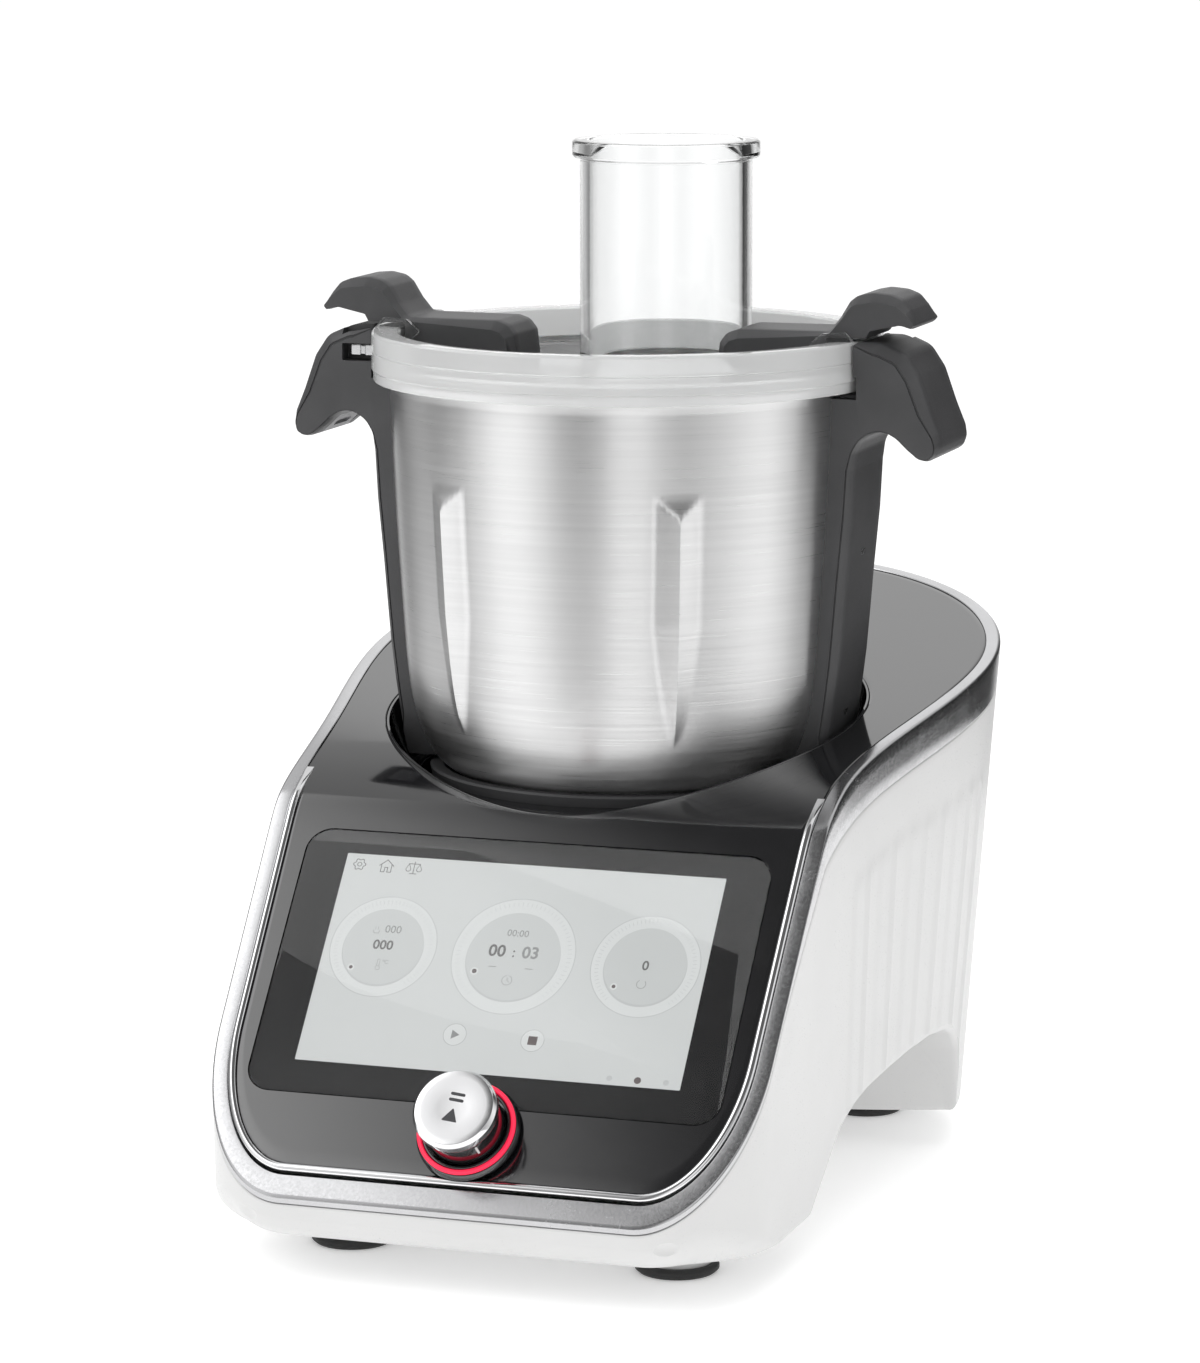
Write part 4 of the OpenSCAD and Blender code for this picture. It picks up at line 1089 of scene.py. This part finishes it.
def grip_insert(name, matrix, *nodes):
    """Pad in the underside of a grip with a slot in it."""
    ob = slab(name, 11.2, 27.8, 1.4, 0.1, 1.75, 0.35, (6.3, 0), UNDER_GRIP, 5)
    combine(ob, [slab("groove", 3.4, 16, 1.6, -1, 1.1, 0.05, (5.8, 0), UNDER_GRIP, 5)])
    put(moved(ob, matrix), "bowl", "grey", "grey_plastic", *nodes)


# ---------------------------------------------------------------- lid
LEVER = [(-121.6, 348.3), (-123.1, 350), (-120.2, 355.4), (-116.8, 359.4), (-112, 361.2),
         (-105, 361.8), (-99, 360.6), (-96, 358.2), (-92, 351.6), (-87.6, 346.2), (-50.5, 346),
         (-45.8, 344.4), (-42.8, 340.6), (-41.6, 330.6), (-88, 330.6), (-88, 344.1), (-90.5, 344.1),
         (-103.6, 344.1), (-105.2, 347), (-113, 348.7), (-117, 349.6)]
LEVER_SOFT = [0.5, 1.2, 4, 5, 8, 8, 6, 4, 12, 4, 6, 4, 3, 0.6, 0.5, 0.3, 0.3, 0.5, 0.6, 6, 6]
# (x, width of the chamfered shoulder) along a lever
LEVER_BAND = ((-122.6, 0.4), (-119, 2.2), (-112, 3.4), (-100, 3.4), (-95, 2.0), (-91, 1.3), (-86, 1.3),
              (-81, 3.2), (-46, 3.4), (-41, 3.0))


def lever(name, matrix, body):
    """Latch lever: bent strip with raised flat cheeks and a chamfered shoulder."""
    outline = fillet(LEVER, LEVER_SOFT, 5)
    half = 18.0
    widths = []
    for i, (x, z) in enumerate(outline):
        t = (Vector(outline[(i + 1) % len(outline)]) - Vector(outline[i - 1])).normalized()
        upper = t.x > 0.1 or (x > -50 and t.y < 0)
        widths.append(along(LEVER_BAND, x) if upper else 0.3)
    levels = [(-half, 1.0), (-half + 0.5, 0.86), (-half + 0.9, 0.78), (-half + 3.6, 0.1), (-half + 4.4, 0.0)]
    levels += [(y, 0.0) for y in (-9, -4, 0, 4, 9)]
    levels += [(-y, c) for y, c in reversed(levels[:5])]
    rings = []
    for y, cut in levels:
        rings.append([(x, y, z) for x, z in shrink(outline, [w * cut for w in widths], True, -1)])
    bore = moved(turned("bore", [(0, 0), (3.2, 0), (3.2, 29.4), (0, 29.4)], 32),
                 Matrix.Translation((-0.076, 0, 0.338)) @ Matrix.Rotation(math.radians(90), 4, "Y"))
    post = slab("post", 14, 4.8, 0.3, 329, 341.5, 0.02, (-53.6, 0))
    ob = moved(combine(sections(name, rings, False, 26), [bore, post]), matrix)
    put(ob, body, "satin", "satin_black", body)


def bolt(name, matrix, body, cad):
    """Latch bolt: a squared pin with a waist and chamfered nose."""
    rings = []
    # (place along the bolt, half height, half width, shift of the tail, which runs beside the spring)
    for x, h, w, beside in ((-110, 1.5, 1.9, 0), (-109.2, 2.1, 2.6, 0), (-105.6, 2.2, 2.7, 0),
                            (-105.2, 1.8, 2.3, 0), (-103.6, 1.8, 2.3, 0), (-103.2, 2.2, 2.7, 0),
                            (-84, 2.2, 2.7, 0), (-84, 2.2, 1.9, 0.85), (-76.1, 2.2, 1.9, 0.85)):
        pts = fillet([(w, h), (-w, h), (-w, -h), (w, -h)], 0.45, 3)
        rings.append([(x, a - (LATCH_Y + beside), LATCH_Z + b) for a, b in pts])
    put(moved(sections(name, rings, False, 30), matrix), body, "plain_steel", "steel", cad)


def lid_lugs():
    """Two cheeks on each side of the lid, which guide the levers."""
    pts = fillet([(-99.0, 334.4), (-98.9, 343.2), (-95.9, 346.5), (-86.2, 345.9), (-80.8, 341.2),
                  (-89, 334.4)],
                 [0.3, 0.8, 1, 1.2, 0.8, 0.3], 4)
    mid_x = sum(p[0] for p in pts) / len(pts)
    mid_z = sum(p[1] for p in pts) / len(pts)
    lugs = []
    for turn in SIDES.values():
        for y in (-18.5, 20.9):
            rings = []
            for d, c in ((0, 0.3), (0.3, 0), (2.1, 0), (2.4, 0.3)):
                k = 1 - c / 5
                rings.append([(mid_x + (x - mid_x) * k, y - d, mid_z + (z - mid_z) * k) for x, z in pts])
            lugs.append(moved(sections("lug", rings, False, 30), turn))
    return lugs


def lid():
    """Clear lid with its tube, its thick rim, and the lugs for the levers."""
    band = fillet([(98.95, 330.9), (99.1, 323.4), (101.2, 323.4), (101.3, 327.3), (101.9, 328),
                   (101.9, 334.6), (101.6, 335), (101.9, 335.4), (101.9, 342), (101, 343), (91.9, 342.7),
                   (91.2, 342), (90.75, 331.2)],
                  [0.3, 0.5, 0.5, 0.3, 0.3, 0.2, 0.1, 0.2, 0.6, 0.8, 0.5, 0.6, 0.3], 4)
    rim = turned("lid_rim", band, 192, sharp=28)
    plate = fillet([(0, 326.6), (89.6, 326.6), (90.4, 322.2), (92.9, 322.2), (93, 330.6), (90.7, 331),
                    (88.8, 329.5), (0, 329.5)], [0, 1.0, 0.4, 0.5, 0.4, 0.3, 1.2, 0], 4)
    tube = fillet([(31, 326.6), (35, 326.6), (35, 329.4), (35.1, 331), (35.0, 407.4), (37.6, 408.2),
                   (38.1, 409), (38.1, 414.2), (37.2, 415), (32, 415), (31, 414)],
                  [0.4, 0.3, 0, 0, 0.8, 0.5, 0.3, 0.6, 0.6, 0.8, 0.6], 4)
    ob = turned("lid_plate", plate, 192, sharp=28)
    combine(ob, [turned("hole", [(0, 300), (33, 300), (33, 360), (0, 360)], 96, TUBE_AT)])
    combine(ob, [turned("tube", tube, 144, TUBE_AT, 28)], "UNION")
    lugs = lid_lugs()
    for part in (rim, *lugs):
        combine(part, [moved(slab("way", 30, 6.5, 0.4, 329.6, 336, 0.02, (-95, -LATCH_Y)), turn)
                       for turn in SIDES.values()])
    put(rim, "lid", "rim", "clear_plastic")
    put(join("lid_lugs", lugs), "lid", "clear", "clear_plastic")
    put(ob, "lid", "clear", "clear_plastic", "lid", "feed_tube")


# ---------------------------------------------------------------- back of the base
def back_plate():
    """Plate with the inlet and the switch, which stands just proud of the round back."""
    def outline(gap, r):
        a, b = WINDOW_W / 2 - gap, WINDOW_H / 2 - gap
        low, high = WINDOW_Z - b, WINDOW_Z + b
        return fillet([(a, low), (a, high), (-a, high), (-a, low)], r, 5)

    def on_back(pts):
        return [(x, FLARE[1] + rear_depth(z) * math.sqrt(1 - (x / rear_w(z)) ** 2) + 0.9, z) for x, z in pts]

    outer, inner = outline(0.4, 2.3), outline(2.4, 1.6)
    rings = [[(x, 182, z) for x, z in outer], on_back(outer), on_back(inner)]
    rings.append([(x, 184.1, z) for x, z in inner])
    inlet = slab("hole", 28.4, 20.4, 1.2, 174, 190, 0.02, (-17, WINDOW_Z), FACING_BACK)
    switch = slab("hole", 16.4, 20.6, 0.8, 174, 190, 0.02, (17.5, WINDOW_Z), FACING_BACK)
    ob = combine(sections("rear_frame", rings, False, 30), [inlet, switch])
    put(bevel(ob, 0.5), "base", "satin", "satin_black", "rear_plate")


def cad_finish():
    """Finishes for the CAD nodes that show through or come into view when parts move."""
    look = {}
    for finish, names in (
            ("white", "bottom_cover"), ("grey", "motor_fan"), ("silicone", "lid_seal"),
            ("rubber", "motor_buffers"),
            ("board", "control_board power_board"), ("brass", "connector_pins inlet_pins"),
            ("iron", "motor_stator motor_rotor"),
            ("alloy", "encoder_body knob_plunger load_cells motor_bracket heater_plate"),
            ("plain_steel", "knob_spring knob_shaft motor_can motor_bearings motor_shaft bottom_screws "
             "heating_element handle_screws blade_shaft blade_set blade_nut latch_springs"),
            ("satin", "drive_dog connector_socket power_inlet power_switch bowl_base_cup connector_block "
             "blade_bearing blade_coupling")):
        look.update((name, finish) for name in names.split())
    for name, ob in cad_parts.items():
        ob.data.materials.clear()
        ob.data.materials.append(M[look.get(name, "satin")])
        if name in look and not ob.hide_render:
            bevel(ob, 0.35, 2, 40)


# ---------------------------------------------------------------- build
base_housing()
belly()
trim_band()
chrome_bead()
top_sheet()
well_funnel()
screen()
picture()
knob()
feet()
bowl()
for side, place in SIDES.items():
    handle(f"grip_{side}", place, f"handle_{side}")
for side, place in SIDES.items():
    grip_insert(f"grip_pad_{side}", place, *(["handle_inserts"] if side == "left" else []))
for side, place in SIDES.items():
    lever(f"lever_{side}", place, f"latch_{side}")
for side, place in SIDES.items():
    bolt(f"pin_{side}", place, f"latch_{side}", f"bolt_{side}")
lid()
back_plate()
cad_finish()


# ---------------------------------------------------------------- studio
def backdrop(name, corners):
    """A plane through four corners in metres, which isn't part of the object."""
    me = bpy.data.meshes.new(name)
    me.from_pydata(corners, [], [(0, 1, 2, 3)])
    ob = add(name, me)
    return ob


def glowing(ob):
    """A bare material for a backdrop, its object coordinates, and its light, which is left to wire."""
    mat, t = new_material(ob.name)
    t.nodes.clear()
    where = node(t, "ShaderNodeTexCoord", {}).outputs["Object"]
    xyz = node(t, "ShaderNodeSeparateXYZ", {"Vector": where})
    glow = node(t, "ShaderNodeEmission", {})
    node(t, "ShaderNodeOutputMaterial", {"Surface": glow.outputs["Emission"]})
    ob.data.materials.append(mat)
    ob.visible_camera = ob.visible_diffuse = ob.visible_shadow = ob.visible_volume_scatter = False
    return t, xyz.outputs, glow


def screens():
    """Tall screens all round, seen only in reflections: bright and dark by direction."""
    radius, top, steps = 780, 740, 120
    rings = []
    for a in even_angles(steps):
        rings.append([(radius * math.sin(a), -radius * math.cos(a), z) for z in (1, top)])
    n = 2 * steps
    faces = [(k, k + 1, (k + 3) % n, (k + 2) % n) for k in range(0, n, 2)]
    ob = mesh("screens", [p for r in rings for p in r], faces)
    t, xyz, glow = glowing(ob)
    ahead = node(t, "ShaderNodeMath", {0: xyz["Y"], 1: -1}, operation="MULTIPLY")
    turn = node(t, "ShaderNodeMath", {0: xyz["X"], 1: ahead.outputs["Value"]}, operation="ARCTAN2")
    span = node(t, "ShaderNodeMapRange", {"Value": turn.outputs["Value"], "From Min": -math.pi,
                                          "From Max": math.pi})
    ramp = node(t, "ShaderNodeValToRGB", {"Fac": span.outputs["Result"]})
    ramp.color_ramp.interpolation = "EASE"
    # (degrees to the right of the front, brightness)
    stops = ((-180, 1.0), (-150, 1.0), (-136, 0.5), (-118, 0.22), (-97, 0.34), (-82, 0.2), (-66, 0.3),
             (-54, 0.62), (-43, 0.95), (-33, 0.95), (-22, 0.66), (-12, 0.28), (-3, 0.16), (6, 0.34),
             (14, 0.85), (24, 0.86), (34, 0.5), (44, 0.32), (55, 0.46), (65, 0.62), (75, 0.82), (86, 0.94),
             (98, 0.66), (109, 0.2), (120, 0.04), (145, 0.03), (165, 0.06), (172, 0.5), (180, 1.0))
    stop = ramp.color_ramp.elements
    for k, (degrees, bright) in enumerate(stops):
        at = (degrees + 180) / 360
        e = stop[k] if k < 2 else stop.new(at)
        e.position = at
        e.color = (bright / 1.2, bright / 1.2, bright / 1.2, 1)
    feed(t, glow, {"Strength": 1.3, "Color": ramp.outputs["Color"]})


def overhead():
    """Wide light over the front, seen only in reflections: bright on the left, dark on the right."""
    ob = backdrop("overhead", [(-2.2, -2.4, 1.5), (1.6, -2.4, 1.5), (1.6, 0.1, 1.5), (-2.2, 0.1, 1.5)])
    t, xyz, glow = glowing(ob)
    span = node(t, "ShaderNodeMapRange", {"Value": xyz["X"], "From Min": -0.9, "From Max": -0.34,
                                          "To Min": 2.3, "To Max": 0.12}, interpolation_type="SMOOTHSTEP")
    feed(t, glow, {"Strength": span.outputs["Result"]})
    ob.visible_transmission = False


def soft_light(name, place, target, size, power):
    lamp = bpy.data.lights.new(name, "AREA")
    lamp.shape, lamp.size, lamp.size_y = "RECTANGLE", size, size
    lamp.energy = power
    ob = add(name, lamp)
    ob.location = place
    ob.rotation_mode = "QUATERNION"
    ob.rotation_quaternion = (Vector(target) - Vector(place)).to_track_quat("-Z", "Y")
    ob.visible_glossy = False


def studio():
    floor = backdrop("floor", [(-30, -30, 0), (30, -30, 0), (30, 30, 0), (-30, 30, 0)])
    mat, t = new_material("floor")
    feed(t, t.nodes["Principled BSDF"], {
        "Base Color": (0.93, 0.93, 0.93, 1), "Roughness": 0.9, "Specular IOR Level": 0.0,
        "Emission Color": (1, 1, 1, 1), "Emission Strength": 0.3})
    floor.data.materials.append(mat)
    world = bpy.data.worlds.new("studio")
    scene.world = world
    world.use_nodes = True
    feed(world.node_tree, world.node_tree.nodes["Background"], {"Color": (1, 1, 1, 1), "Strength": 0.76})
    soft_light("key", (-1.6, -1.6, 2.2), (0, 0, 0.15), 1.6, 20)
    soft_light("top", (0.4, 0.6, 2.6), (0, 0, 0.1), 2.2, 20)
    screens()
    overhead()


def camera():
    """Camera at the photograph's place, solved from the screen's and the rim's edges."""
    cam = bpy.data.cameras.new("camera")
    ob = add("camera", cam)
    scene.camera = ob
    ob.location = (0.6653, -1.9784, 0.5614)
    yaw, pitch = math.radians(18.4), math.radians(9.7)
    look = Vector((-math.sin(yaw) * math.cos(pitch), math.cos(yaw) * math.cos(pitch), -math.sin(pitch)))
    ob.rotation_mode = "QUATERNION"
    ob.rotation_quaternion = look.to_track_quat("-Z", "Y")
    cam.sensor_fit, cam.sensor_width, cam.lens = "HORIZONTAL", 36, 158.05
    cam.shift_x, cam.shift_y = -0.0373, -0.008
    cam.clip_start, cam.clip_end = 0.05, 100
    cam.dof.use_dof = False


studio()
camera()
scene.view_settings.view_transform = "Standard"
scene.view_settings.look = "None"
